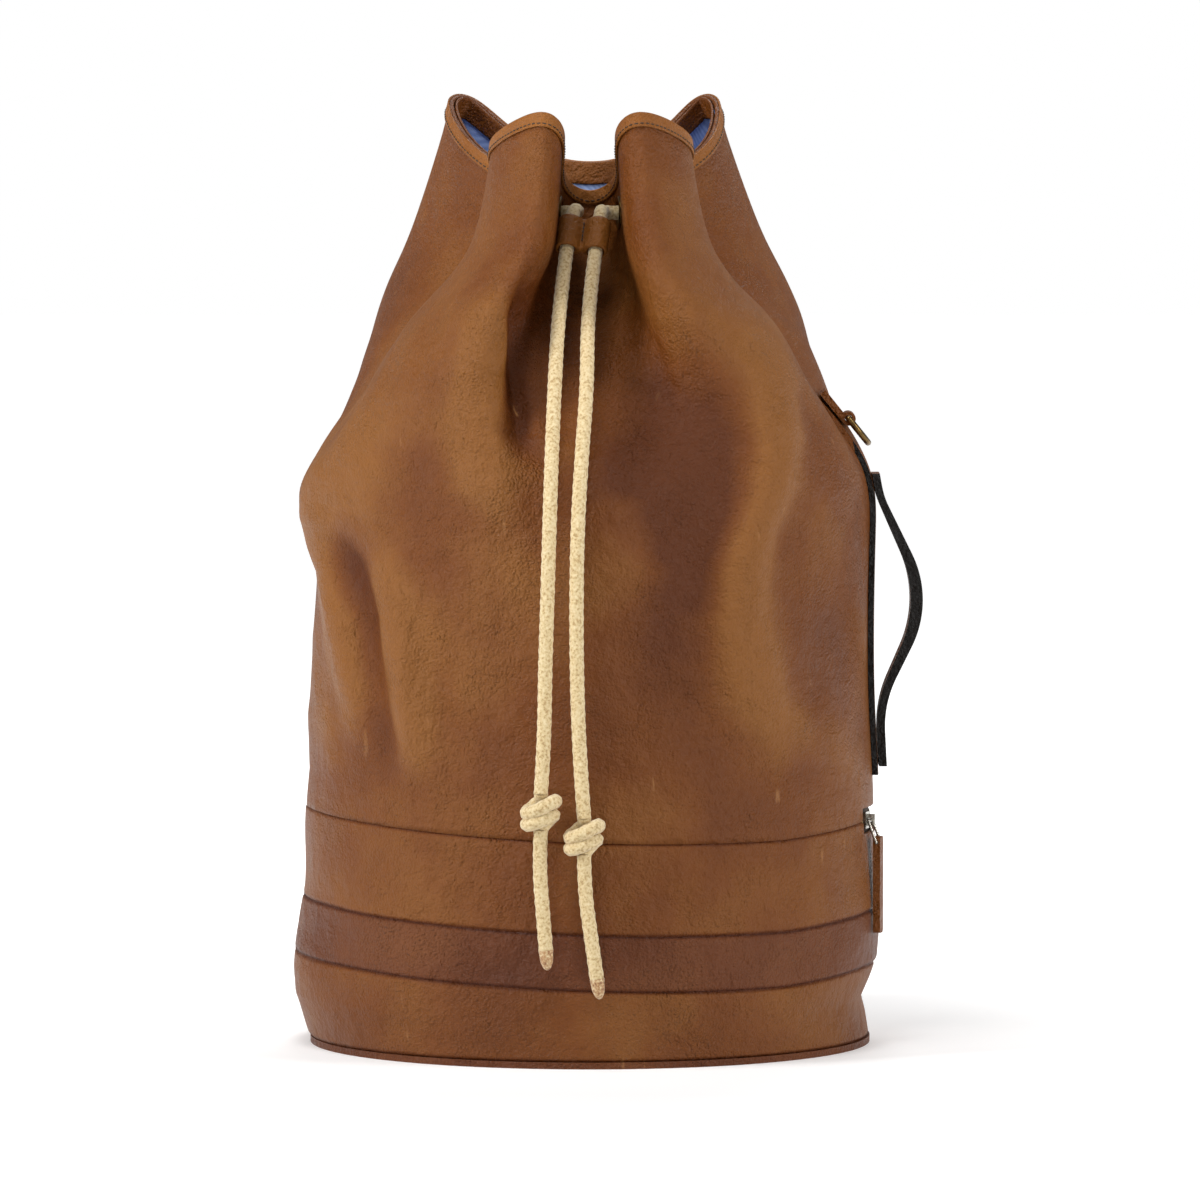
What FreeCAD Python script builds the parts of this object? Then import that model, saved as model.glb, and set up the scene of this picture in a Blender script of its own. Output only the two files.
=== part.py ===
"""A leather drawstring duffel bag, standing on its base.

The origin is the centre of the base, on the floor. Z points up, the drawcord hangs on the -Y side
and the carrying handle is on the +X side. All lengths are in millimetres.
"""
import FreeCAD, Part
import Sketcher
from FreeCAD import Placement, Rotation, Vector
import math
import os

doc = FreeCAD.newDocument("drawstring_duffel")

# ---------------------------------------------------------------------------------------------
# Driving dimensions
# ---------------------------------------------------------------------------------------------
SIZES = {
    # body
    "leather": 2.4,
    "seam_gap": 0.2,
    "base_radius": 165.2,
    "base_thickness": 2.6,
    "board_radius": 161.0,
    "board_thickness": 3.0,
    "welt_width": 3.0,
    "welt_height": 4.0,
    "base_band_foot_radius": 168.4,
    "base_band_seam_height": 49.0,
    "base_band_seam_radius": 173.0,
    "middle_band_seam_height": 82.0,
    "middle_band_seam_radius": 174.0,
    "zip_seam_height": 136.0,
    "zip_seam_radius": 170.5,
    "body_radius": 167.0,
    "waist_height": 200.0,
    "shoulder_height": 325.0,
    "drawcord_height": 494.0,
    "mouth_rise": 69.5,
    "mouth_valley_rise": 17.5,
    # inner pieces
    "lining": 0.8,
    "divider_radius": 166.2,
    "divider_thickness": 2.4,
    "divider_height": 146.5,
    "binding": 1.3,
    "binding_outside": 8.0,
    "binding_inside": 13.0,
    # eyelets and drawcord
    "cord_radius": 4.5,
    "cord_ring_radius": 55.0,
    "eyelet_bore_radius": 6.0,
    "eyelet_barrel_radius": 6.8,
    "eyelet_flange_radius": 10.0,
    "eyelet_flange": 1.2,
    "knot_radius": 11.5,
    "tip_length": 13.0,
    "tip_radius": 1.6,
    # cord toggle
    "toggle_length": 22.0,
    "toggle_bore_play": 0.6,
    "toggle_wall": 2.1,
    "toggle_spacing": 17.0,
    "toggle_web": 4.4,
    # side strip, handle and D-ring
    "strip_width": 30.0,
    "strip_thickness": 3.4,
    "strip_low": 161.0,
    "strip_high": 398.0,
    "handle_width": 26.0,
    "handle_leather": 2.0,
    "handle_filler": 4.2,
    "handle_low": 166.0,
    "handle_foot": 204.0,
    "handle_head": 328.0,
    "handle_head_tail": 14.0,
    "handle_standoff": 27.0,
    "ring_wire": 1.9,
    "ring_width": 30.0,
    "ring_depth": 19.0,
    "ring_height": 372.0,
    "tab_width": 23.0,
    "tab_leather": 2.0,
    "tab_length": 20.0,
    # zip of the lower compartment
    "zip_start": -17.0,
    "zip_sweep": 179.0,
    "zip_margin": 1.5,
    "zip_window": 7.5,
    "row_inner_radius": 165.9,
    "row_depth": 2.6,
    "row_height": 2.2,
    "row_gap": 0.6,
    "tape_inner_radius": 166.6,
    "tape_thickness": 0.8,
    "tape_height": 9.5,
    "slider_angle": -13.0,
    "slider_length": 12.0,
    "slider_height": 10.0,
    "slider_plate": 1.6,
    "slider_play": 0.4,
    "slider_post": 0.7,
    "bridge_depth": 4.4,
    "bridge_height": 7.0,
    "bridge_width": 2.6,
    "link_wire": 0.9,
    "link_width": 12.0,
    "link_length": 14.0,
    "link_lean": 20.0,
    "puller_width": 9.6,
    "puller_thickness": 4.4,
    "puller_length": 58.0,
    "puller_bore": 1.2,
    "puller_above_hole": 3.6,
    "puller_corner": 2.5,
    # running clearance
    "play": 0.3,
}

sheet = doc.addObject("Spreadsheet::Sheet", "Sizes")
for row, (alias, value) in enumerate(SIZES.items(), start=1):
    sheet.set(f"A{row}", alias)
    sheet.set(f"B{row}", str(value))
    sheet.setAlias(f"B{row}", alias)
doc.recompute()

pieces = []


def size(alias):
    """The value of one cell of the sheet."""
    return float(getattr(sheet, alias))


def total(formula):
    """The value of a sum of aliases, such as "leather + lining - play"."""
    value, sign = 0.0, 1
    for word in formula.split():
        if word in "+-":
            sign = 1 if word == "+" else -1
        else:
            value += sign * size(word)
    return value


def bound(formula):
    """The same sum as an expression on the sheet."""
    return " ".join(word if word in "+-" else f"Sizes.{word}" for word in formula.split())


def bind(item, **properties):
    """Ties properties of a document object to sums of the sheet's cells."""
    for name, formula in properties.items():
        item.setExpression(name, bound(formula))
    return item


def piece(item, label):
    """Marks a document object as a sub-part, which is written to a file of its own."""
    item.Label = label
    pieces.append(item)
    return item


def shaped(label, shape, placement=None):
    """A sub-part whose shape is worked out here."""
    item = doc.addObject("Part::Feature", label)
    item.Shape = shape
    if placement is not None:
        item.Placement = placement
    return piece(item, label)


# ---------------------------------------------------------------------------------------------
# Turned pieces: a closed profile of (radius, height) corners about the Z axis
# ---------------------------------------------------------------------------------------------
def turned(label, corners):
    """A body made by revolving a profile whose corners are sums of the sheet's cells."""
    body = doc.addObject("PartDesign::Body", label)
    sketch = body.newObject("Sketcher::SketchObject", f"{label}_profile")
    plane = next(f for f in body.Origin.OriginFeatures if f.Role == "XZ_Plane")
    sketch.AttachmentSupport = [(plane, "")]
    sketch.MapMode = "FlatFace"
    places = [Vector(total(r) if r else 0, total(z) if z else 0, 0) for r, z in corners]
    for start, end in zip(places, places[1:] + places[:1]):
        sketch.addGeometry(Part.LineSegment(start, end), False)
    count = len(corners)
    for index, (radius, height) in enumerate(corners):
        sketch.addConstraint(Sketcher.Constraint("Coincident", index, 2, (index + 1) % count, 1))
        for kind, axis, formula in (("DistanceX", -2, radius), ("DistanceY", -1, height)):
            if formula:
                at = places[index].x if kind == "DistanceX" else places[index].y
                number = sketch.addConstraint(Sketcher.Constraint(kind, -1, 1, index, 1, at))
                sketch.setExpression(f"Constraints[{number}]", bound(formula))
            else:
                sketch.addConstraint(Sketcher.Constraint("PointOnObject", index, 1, axis))
    turn = body.newObject("PartDesign::Revolution", f"{label}_turn")
    turn.Profile = sketch
    turn.ReferenceAxis = (sketch, ["V_Axis"])
    turn.Angle = 360
    sketch.Visibility = False
    return body


def disc(label, radius, low, high):
    return piece(turned(label, [("", low), (radius, low), (radius, high), ("", high)]), label)


def band_corners(low_radius, low, high_radius, high):
    """The wall of a band, one leather thick, between two heights."""
    return [
        (low_radius, low),
        (high_radius, high),
        (f"{high_radius} - leather", high),
        (f"{low_radius} - leather", low),
    ]


disc("base_panel", "base_radius", "", "base_thickness")
disc("base_board", "board_radius", "base_thickness + seam_gap",
     "base_thickness + seam_gap + board_thickness")
disc("compartment_divider", "divider_radius", "divider_height", "divider_height + divider_thickness")

WELT_OUTER = "base_radius + seam_gap + welt_width"
piece(turned("base_welt", [
    ("base_radius + seam_gap", ""),
    (WELT_OUTER, ""),
    (WELT_OUTER, "welt_height"),
    ("base_radius + seam_gap", "welt_height"),
]), "base_welt")
piece(turned("base_band", band_corners(
    "base_band_foot_radius", "welt_height + seam_gap",
    "base_band_seam_radius", "base_band_seam_height")), "base_band")
piece(turned("middle_band", band_corners(
    "base_band_seam_radius", "base_band_seam_height",
    "middle_band_seam_radius", "middle_band_seam_height")), "middle_band")


# ---------------------------------------------------------------------------------------------
# Rings that run part of the way round, for the zip and its window
# ---------------------------------------------------------------------------------------------
def ring_sector(label, inner, outer, low, height, margin=""):
    """A ring about Z from the zip's start to its end, shorter by a margin at both ends."""
    solids = []
    for side, radius in (("outer", outer), ("inner", inner)):
        rod = bind(doc.addObject("Part::Cylinder", f"{label}_{side}"), Radius=radius, Height=height)
        angle = bound("zip_sweep")
        start = bound("zip_start")
        if margin:
            angle += f" - 2 * {bound(margin)}"
            start += f" + {bound(margin)}"
        if side == "inner":
            rod.Angle = 360
        else:
            rod.setExpression("Angle", angle)
            rod.setExpression("Placement.Rotation.Angle", f"({start}) * 1 deg")
        rod.setExpression("Placement.Base.z", bound(low))
        solids.append(rod)
    ring = doc.addObject("Part::Cut", label)
    ring.Base, ring.Tool = solids
    return ring


zip_window = ring_sector(
    "zip_window", "row_inner_radius - slider_plate", "zip_seam_radius + leather",
    "zip_seam_height - zip_window", "zip_window + zip_window")
compartment_wall = turned("compartment_wall", band_corners(
    "middle_band_seam_radius", "middle_band_seam_height", "zip_seam_radius", "zip_seam_height"))
compartment_band = doc.addObject("Part::Cut", "compartment_band")
compartment_band.Base, compartment_band.Tool = compartment_wall, zip_window
piece(compartment_band, "compartment_band")

ROW_OUTER = "row_inner_radius + row_depth"
TAPE_OUTER = "tape_inner_radius + tape_thickness"
ZIP_ROWS = {
    "upper": ("zip_seam_height + row_gap", "zip_seam_height + row_gap + row_height"),
    "lower": ("zip_seam_height - row_gap - row_height",
              "zip_seam_height - row_gap - row_height - tape_height"),
}
for side, (row_low, tape_low) in ZIP_ROWS.items():
    piece(ring_sector(f"zip_teeth_{side}", "row_inner_radius", ROW_OUTER, row_low, "row_height",
                      "zip_margin"), f"zip_teeth_{side}")
    piece(ring_sector(f"zip_tape_{side}", "tape_inner_radius", TAPE_OUTER, tape_low,
                      "tape_height"), f"zip_tape_{side}")


def box(label, length, width, height, base):
    """A box whose sizes and corner are sums of the sheet's cells."""
    item = bind(doc.addObject("Part::Box", label), Length=length, Width=width, Height=height)
    for axis, expression in zip("xyz", base):
        item.setExpression(f"Placement.Base.{axis}", expression)
    return item


def fused(label, *solids):
    item = doc.addObject("Part::MultiFuse", label)
    item.Shapes = list(solids)
    return item


def cut(label, base, tool):
    item = doc.addObject("Part::Cut", label)
    item.Base, item.Tool = base, tool
    return item


def turned_to(angle_degrees):
    """The turn about Z that carries a piece made on the +X side to another side."""
    return Placement(Vector(), Rotation(Vector(0, 0, 1), angle_degrees))


# Zip slider: an outer and an inner plate, the post between them and the bridge for the pull link.
SEAM = bound("zip_seam_height")
ROW_CLEAR = bound("row_inner_radius + row_depth + slider_play")
outer_plate = box("slider_outer_plate", "slider_plate", "slider_length", "slider_height",
                  (ROW_CLEAR, "-Sizes.slider_length / 2", f"{SEAM} - Sizes.slider_height / 2"))
inner_plate = box("slider_inner_plate", "slider_plate", "slider_length", "slider_height",
                  (bound("row_inner_radius - slider_play - slider_plate"),
                   "-Sizes.slider_length / 2", f"{SEAM} - Sizes.slider_height / 2"))
post = box("slider_post", "row_depth + slider_play + slider_play + slider_plate",
           "slider_length", "slider_post",
           (bound("row_inner_radius - slider_play - slider_plate"),
            "-Sizes.slider_length / 2", f"{SEAM} - Sizes.slider_post / 2"))
bridge = box("slider_bridge", "bridge_depth", "bridge_width", "bridge_height",
             (bound("row_inner_radius + row_depth + slider_play + slider_plate"),
              "-Sizes.bridge_width / 2", f"{SEAM} - Sizes.bridge_height / 2"))
bridge_eye = bind(doc.addObject("Part::Cylinder", "slider_bridge_eye"), Radius="link_wire + play")
BRIDGE_BORE = 10.0
bridge_eye.Height = BRIDGE_BORE
EYE_RADIUS = "row_inner_radius + row_depth + slider_play + slider_plate + link_wire + play + play"
bridge_eye.Placement = Placement(Vector(0, BRIDGE_BORE / 2, 0), Rotation(Vector(1, 0, 0), 90))
bridge_eye.setExpression("Placement.Base.x", bound(EYE_RADIUS))
bridge_eye.setExpression("Placement.Base.z", SEAM)
slider = cut("zip_slider", fused("slider_body", outer_plate, inner_plate, post, bridge), bridge_eye)
slider.setExpression("Placement.Rotation.Angle", "Sizes.slider_angle * 1 deg")
piece(slider, "zip_slider")


# ---------------------------------------------------------------------------------------------
# The gathered shell: round at the bottom, drawn into four lobes at the mouth
# ---------------------------------------------------------------------------------------------
# Half of the drawn-in outline at the height of the drawcord, from the front valley round the left
# side to the back valley. The other half is its mirror image.
FRONT_VALLEY = (0, -22)
BACK_VALLEY = (0, 27)
LEFT_OUTLINE = [
    (-17, -36), (-20, -72), (-20, -112), (-34, -142), (-55, -116), (-68, -80), (-66, -50),
    (-46, -20), (-24, -5), (-50, 9), (-84, 33), (-105, 70), (-118, 106), (-98, 128),
    (-70, 104), (-46, 76), (-24, 40),
]


# How far each of these points, and its partner on the right, leans towards the middle at the mouth.
LEFT_LEAN = [0, 0, 4, 5, 5, 3, 0, 0, 0, 0, 4, 9, 13, 10, 6, 2, 0]
RIGHT_LEAN = [0, 0, 4, 4, 1, 0, 0, 0, 0, 0, 4, 14, 22, 17, 10, 4, 0]


def drawn_outline():
    right = [(-x, y) for x, y in reversed(LEFT_OUTLINE)]
    return [Vector(x, y, 0) for x, y in [FRONT_VALLEY, *LEFT_OUTLINE, BACK_VALLEY, *right]]


def drawn_lean():
    right = [-lean for lean in reversed(RIGHT_LEAN)]
    return [Vector(lean, 0, 0) for lean in [0, *LEFT_LEAN, 0, *right]]


def round_outline(drawn):
    """The same leather laid out on a circle: each point keeps its distance along the edge.

    A cubic spline runs inside its control points, so each stands out by what the curve loses.
    """
    steps = [(b - a).Length for a, b in zip(drawn, drawn[1:] + drawn[:1])]
    around = sum(steps)
    points, run = [], 0.0
    for before, step in zip(steps[-1:] + steps, steps):
        angle = -math.pi / 2 - 2 * math.pi * run / around
        spread = math.pi * (before + step) / around
        reach = 3 / (2 + math.cos(spread))
        points.append(Vector(reach * math.cos(angle), reach * math.sin(angle), 0))
        run += step
    return points


DRAWN = drawn_outline()
LEAN = drawn_lean()
ROUND = round_outline(DRAWN)
MOUTH_SHRINK = 0.86
SEAM_LEVEL, BODY = size("zip_seam_height"), size("body_radius")
SHOULDER, CORD_LEVEL = size("shoulder_height"), size("drawcord_height")
NECK_FOOT = SHOULDER + 20
MOUTH = CORD_LEVEL + size("mouth_rise")
MOUTH_VALLEY = CORD_LEVEL + size("mouth_valley_rise")
VALLEY_REACH, LOBE_REACH = 24.0, 128.0


def neck(share):
    """A height between the shoulder, where the gathering starts, and the drawcord."""
    return NECK_FOOT + share * (CORD_LEVEL - NECK_FOOT)


GATHERED = neck(0.92)
GATHERED_LEAN = 0.65
# height, radius where round, how far drawn in, scale of the drawn outline, share of the lean
LEVELS = [
    (SEAM_LEVEL, size("zip_seam_radius"), 0.0, 1.0, 0.0),
    (SEAM_LEVEL + 12, size("zip_seam_radius"), 0.0, 1.0, 0.0),
    (SEAM_LEVEL + 36, size("zip_seam_radius") - 1, 0.0, 1.0, 0.0),
    (size("waist_height") + 10, BODY, 0.0, 1.0, 0.0),
    (0.5 * (size("waist_height") + SHOULDER), BODY, 0.0, 1.0, 0.0),
    (SHOULDER - 20, BODY + 1, 0.0, 1.0, 0.0),
    (NECK_FOOT, BODY + 2, 0.0, 1.0, 0.0),
    (neck(0.235), BODY, 0.2, 1.15, 0.0),
    (neck(0.557), BODY, 0.55, 1.2, 0.1),
    (neck(0.785), BODY, 0.9, 1.1, 0.4),
    (GATHERED, BODY, 1.0, 1.04, GATHERED_LEAN),
]
# How far each of the last rows lies below the rim.
RIM_DROPS = (24, 12, 4, 0)


def rim_height(point):
    """The mouth's edge rises from the valleys to the lobes as a wide cone does."""
    share = (point.Length - VALLEY_REACH) / (LOBE_REACH - VALLEY_REACH)
    return MOUTH_VALLEY + (MOUTH - MOUTH_VALLEY) * share


def control_rows(offset):
    """Rows of control points of the shell moved outwards by an offset, from the seam to the rim."""
    rows = []
    for height, radius, drawn_in, scale, lean in LEVELS:
        flat = [r * radius * (1 - drawn_in) + d * drawn_in * scale + to_middle * lean
                for r, d, to_middle in zip(ROUND, DRAWN, LEAN)]
        rows.append([(p, height) for p in flat])
    for drop in RIM_DROPS:
        row = []
        for point, to_middle in zip(DRAWN, LEAN):
            height = rim_height(point * MOUTH_SHRINK) - drop
            share = (height - GATHERED) / (MOUTH - GATHERED)
            lean = to_middle * (GATHERED_LEAN + (1 - GATHERED_LEAN) * share)
            row.append((point * (1 + share * (MOUTH_SHRINK - 1)) + lean, height))
        rows.append(row)
    placed = []
    for row in rows:
        flat = [p for p, height in row]
        moved = []
        for before, (here, height), after in zip(flat[-1:] + flat, row, flat[1:] + flat[:1]):
            along = (after - before).normalize()
            moved.append(here + Vector(-along.y, along.x, 0) * offset + Vector(0, 0, height))
        placed.append(moved)
    return placed


ROUND_COUNT = len(DRAWN)
TOP = len(LEVELS) + len(RIM_DROPS) - 3
DEGREE = 3


def shell_surface(offset):
    """A smooth surface over the control points: closed round the bag, open at seam and rim."""
    rows = control_rows(offset)
    surface = Part.BSplineSurface()
    surface.buildFromPolesMultsKnots(
        [list(column) for column in zip(*rows)],
        [1] * (ROUND_COUNT + 1), [DEGREE + 1] + [1] * (TOP - 1) + [DEGREE + 1],
        list(range(ROUND_COUNT + 1)), list(range(TOP + 1)), True, False, DEGREE, DEGREE)
    return surface


SURFACES = {}


def surface_at(offset):
    key = round(offset, 4)
    if key not in SURFACES:
        SURFACES[key] = shell_surface(offset)
    return SURFACES[key]


def sewn(faces):
    shell = Part.makeShell(faces)
    shell.sewShape()
    solid = Part.makeSolid(shell)
    solid.fix(0.001, 0.0001, 0.01)
    return solid


def wall(inner, outer, low, high):
    """The wall between two offsets of the shell, all the way round, as two halves sewn together."""
    half = ROUND_COUNT // 2
    return sewn(patch_faces(inner, outer, 0, half, low, high, False)
                + patch_faces(inner, outer, half, ROUND_COUNT, low, high, False))


def patch_faces(inner, outer, start, end, low, high, with_sides):
    """Faces of the wall between two offsets of the shell, over part of its length and height."""
    faces, borders = [], []
    for offset in (inner, outer):
        surface = surface_at(offset).copy()
        surface.segment(start, end, low, high)
        faces.append(surface.toShape())
        border = [surface.vIso(level).toShape() for level in (low, high)]
        if with_sides:
            border += [surface.uIso(turn).toShape() for turn in (start, end)]
        borders.append(border)
    return faces + [Part.makeRuledSurface(one, other) for one, other in zip(*borders)]


def patch(inner, outer, start, end, low, high):
    """A piece of the wall between two offsets of the shell."""
    return sewn(patch_faces(inner, outer, start, end, low, high, True))


LEATHER, GAP, LINING, BINDING = size("leather"), size("seam_gap"), size("lining"), size("binding")
PLAY = size("play")
LINING_FACE = -LEATHER - GAP
WALL = LEATHER + GAP + LINING
FACING_FACE = -WALL - GAP
OUTSIDE = surface_at(0)
WALL_LEVEL = 3.5
HALVINGS = 50


def solved(function, low, high, target):
    """The value between low and high where a rising or falling function meets the target."""
    rising = function(high) > function(low)
    for _ in range(HALVINGS):
        middle = 0.5 * (low + high)
        if (function(middle) < target) == rising:
            low = middle
        else:
            high = middle
    return 0.5 * (low + high)


def level_at(turn, height):
    """How far up the surface a height lies, in rows, at one place round the bag."""
    return solved(lambda level: OUTSIDE.value(turn, level).z, 0, TOP, height)


def rim_level(turn, drop):
    """How far up the surface the line lies that runs a distance below the rim."""
    rim = OUTSIDE.value(turn, TOP)
    return solved(lambda level: (rim - OUTSIDE.value(turn, level)).Length, 0, TOP, drop)


# The right side, where the strip, the handle and the D-ring are: the place round the bag where
# the wall crosses the X axis, and the strip's two edges.
def side_turn(across):
    """The place round the bag whose distance from the XZ plane, on the right side, is given."""
    quarter = 0.25 * ROUND_COUNT
    return solved(lambda turn: OUTSIDE.value(turn, WALL_LEVEL).y,
                  3 * quarter - 3, 3 * quarter + 3, across)


SIDE = side_turn(0)
STRIP_EDGES = sorted(side_turn(side * size("strip_width") / 2) for side in (-1, 1))
STRIP_FACE = GAP + size("strip_thickness")
VALLEY = 0.0


def strip_point(height):
    """A point on the middle of the side strip's outer face."""
    return surface_at(STRIP_FACE).value(SIDE, level_at(SIDE, height))


# Eyelets: where the outline at the drawcord's height crosses the ring that the cord makes.
EYELET_LEVEL = level_at(VALLEY, size("drawcord_height"))


def eyelet_turns():
    def reach(turn):
        return math.hypot(*OUTSIDE.value(turn, EYELET_LEVEL)[:2])
    parts = 10
    steps = [step / parts for step in range(parts * ROUND_COUNT + 1)]
    ring = size("cord_ring_radius")
    return [solved(reach, low, high, ring) for low, high in zip(steps, steps[1:])
            if (reach(low) - ring) * (reach(high) - ring) < 0]


def outward(turn, level):
    """The wall's outward direction, level with the floor."""
    here = OUTSIDE.tangent(turn, level)[0]
    return Vector(-here.y, here.x, 0).normalize()


EYELETS = []
for turn in eyelet_turns():
    EYELETS.append((OUTSIDE.value(turn, EYELET_LEVEL), outward(turn, EYELET_LEVEL)))


def along(point, axis):
    """The placement that carries a piece made on the Z axis to a point and direction."""
    return Placement(point, Rotation(Vector(0, 0, 1), axis))


def rod(point, axis, radius, start, end):
    """A round bar on an axis, between two distances from a point of it."""
    return Part.makeCylinder(radius, end - start, point + axis * start, axis)


def eyelet_room(outside):
    """The space of the eyelets' barrels and of the flat seats on one side of the wall."""
    hole, seat = size("eyelet_barrel_radius") + HOLE_PLAY, size("eyelet_flange_radius") + GAP
    rods = []
    for point, axis in EYELETS:
        rods.append(rod(point, axis, hole, -WALL - SEAT_DEPTH, SEAT_DEPTH))
        if outside:
            rods.append(rod(point, axis, seat, 0, SEAT_DEPTH))
        else:
            rods.append(rod(point, axis, seat, -WALL - SEAT_DEPTH, -WALL + SEAT_SINK))
    return rods


HOLE_PLAY = 0.1
SEAT_DEPTH = 5.0
# The washer presses a little way into the lining, and leaves no thin scraps round its edge.
SEAT_SINK = 0.1
doc.recompute()


def pierced(solid, tools):
    """The solid with its holes cut, without the scraps that a flange's flat seat shaves off."""
    return max(solid.cut(tools).Solids, key=lambda scrap: scrap.Volume)


shaped("main_panel", pierced(wall(-LEATHER, 0, 0, TOP), [zip_window.Shape, *eyelet_room(True)]))
LINING_LOW = level_at(VALLEY, total("divider_height + divider_thickness + seam_gap"))
LINING_HIGH = rim_level(VALLEY, 0.5 * size("binding_inside"))
shaped("lining", pierced(wall(LINING_FACE - LINING, LINING_FACE, LINING_LOW, LINING_HIGH),
                         eyelet_room(False)))
FACING_LOW = rim_level(VALLEY, size("binding_inside"))
shaped("mouth_facing", wall(FACING_FACE - BINDING, FACING_FACE, FACING_LOW, TOP))
BINDING_LOW = rim_level(VALLEY, size("binding_outside"))
shaped("mouth_binding", wall(GAP, GAP + BINDING, BINDING_LOW, TOP))
shaped("side_strip", patch(GAP, STRIP_FACE, *STRIP_EDGES,
                           level_at(SIDE, size("strip_low")), level_at(SIDE, size("strip_high"))))

for number, (point, axis) in enumerate(EYELETS, start=1):
    body = turned(f"eyelet_{number}", [
        ("eyelet_bore_radius", "- leather - seam_gap - lining - eyelet_flange - seam_gap"),
        ("eyelet_barrel_radius", "- leather - seam_gap - lining - eyelet_flange - seam_gap"),
        ("eyelet_barrel_radius", ""),
        ("eyelet_flange_radius", ""),
        ("eyelet_flange_radius", "eyelet_flange"),
        ("eyelet_bore_radius", "eyelet_flange"),
    ])
    body.Placement = along(point, axis)
    piece(body, f"eyelet_{number}")
    washer_low = "- leather - seam_gap - lining - eyelet_flange"
    washer_high = "- leather - seam_gap - lining"
    washer = turned(f"eyelet_washer_{number}", [
        ("eyelet_barrel_radius", washer_low),
        ("eyelet_flange_radius", washer_low),
        ("eyelet_flange_radius", washer_high),
        ("eyelet_barrel_radius", washer_high),
    ])
    washer.Placement = along(point, axis)
    piece(washer, f"eyelet_washer_{number}")


# ---------------------------------------------------------------------------------------------
# Cord: straight runs joined by tangent arcs
# ---------------------------------------------------------------------------------------------
ARC_SHARE = 0.45


def rounded(points):
    """Edges along a route: runs joined by arcs as large as the shorter run of each pair allows."""
    edges, here = [], points[0]
    for before, corner, after in zip(points, points[1:], points[2:]):
        back, on = (before - corner), (after - corner)
        cut_back = ARC_SHARE * min(back.Length, on.Length)
        half_turn = 0.5 * (math.pi - back.getAngle(on))
        radius = cut_back / math.tan(half_turn)
        back.normalize()
        on.normalize()
        start, end = corner + back * cut_back, corner + on * cut_back
        inner = (back + on).normalize()
        middle = corner + inner * (radius / math.cos(half_turn) - radius)
        edges.append(Part.LineSegment(here, start).toShape())
        edges.append(Part.Arc(start, middle, end).toShape())
        here = end
    edges.append(Part.LineSegment(here, points[-1]).toShape())
    return edges


def tube(label, points):
    """A round cord along a route."""
    path = Part.Wire(rounded(points))
    section = Part.Wire(Part.makeCircle(size("cord_radius"), points[0], points[1] - points[0]))
    return shaped(label, path.makePipeShell([section], True, False))


TOGGLE_AXIS = Vector(-0.10, -0.62, -0.78).normalize()
TOGGLE_CENTRE = Vector(-4.1, -size("cord_ring_radius") - 27, CORD_LEVEL - 8)
HALF_TOGGLE = TOGGLE_AXIS * (size("toggle_length") / 2)
ACROSS = (Vector(1, 0, 0) - TOGGLE_AXIS * TOGGLE_AXIS.x).normalize()
CHANNELS = {side: ACROSS * (sign * size("toggle_spacing") / 2)
            for side, sign in (("left", -1), ("right", 1))}


def drawcord_route():
    """From one channel of the toggle through all the eyelets and back into the other channel."""
    reach, lead_out, lead_in = 8.0, 12.0, 10.0
    lead = -TOGGLE_AXIS * 9.0
    first, last = EYELETS[0], EYELETS[-1]
    route = [TOGGLE_CENTRE + CHANNELS["left"] + HALF_TOGGLE,
             TOGGLE_CENTRE + CHANNELS["left"] - HALF_TOGGLE + lead,
             first[0] + first[1] * lead_out]
    for number, (point, axis) in enumerate(EYELETS):
        inside, outside = point - axis * (reach + WALL), point + axis * reach
        pair = [outside, inside] if number % 2 == 0 else [inside, outside]
        if number == 0:
            pair = pair[1:]
        if number == len(EYELETS) - 1:
            pair = pair[:1]
        route += pair
    route += [last[0] + last[1] * lead_in,
              TOGGLE_CENTRE + CHANNELS["right"] - HALF_TOGGLE + lead,
              TOGGLE_CENTRE + CHANNELS["right"] + HALF_TOGGLE]
    return route


tube("drawcord", drawcord_route())

# The free tails hang from the toggle, over the belly, to a knot each. Each point gives its x, how
# far in front of the body it stands, and how far below the drawcord it hangs.
TAILS = {
    "left": [(-18.4, -49.7, 52.6), (-20.5, -21, 93), (-22, 3, 130), (-23.3, 13.5, 170),
             (-24.5, 17, 214), (-26, 18, 259), (-26.5, 18.5, 301)],
    "right": [(-1.4, -49.7, 52.6), (-1.5, -21, 94), (-4.5, 3, 132), (-7, 13.5, 173),
              (-7.8, 17, 218), (-7.5, 18, 263), (-6, 18.5, 307)],
}
KNOTS = {"left": (-28.5, 19, 341.4), "right": (-3.3, 19, 355.7)}
ENDS = {
    "left": [(-29.4, 19.4, 373), (-27.6, 19.6, 397), (-25.6, 19, 422)],
    "right": [(-3.0, 19.4, 387), (0.4, 19.6, 412), (4.2, 19, 439)],
}


def hung(place):
    across, stand, drop = place
    return Vector(across, -BODY - stand, CORD_LEVEL - drop)


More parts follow.
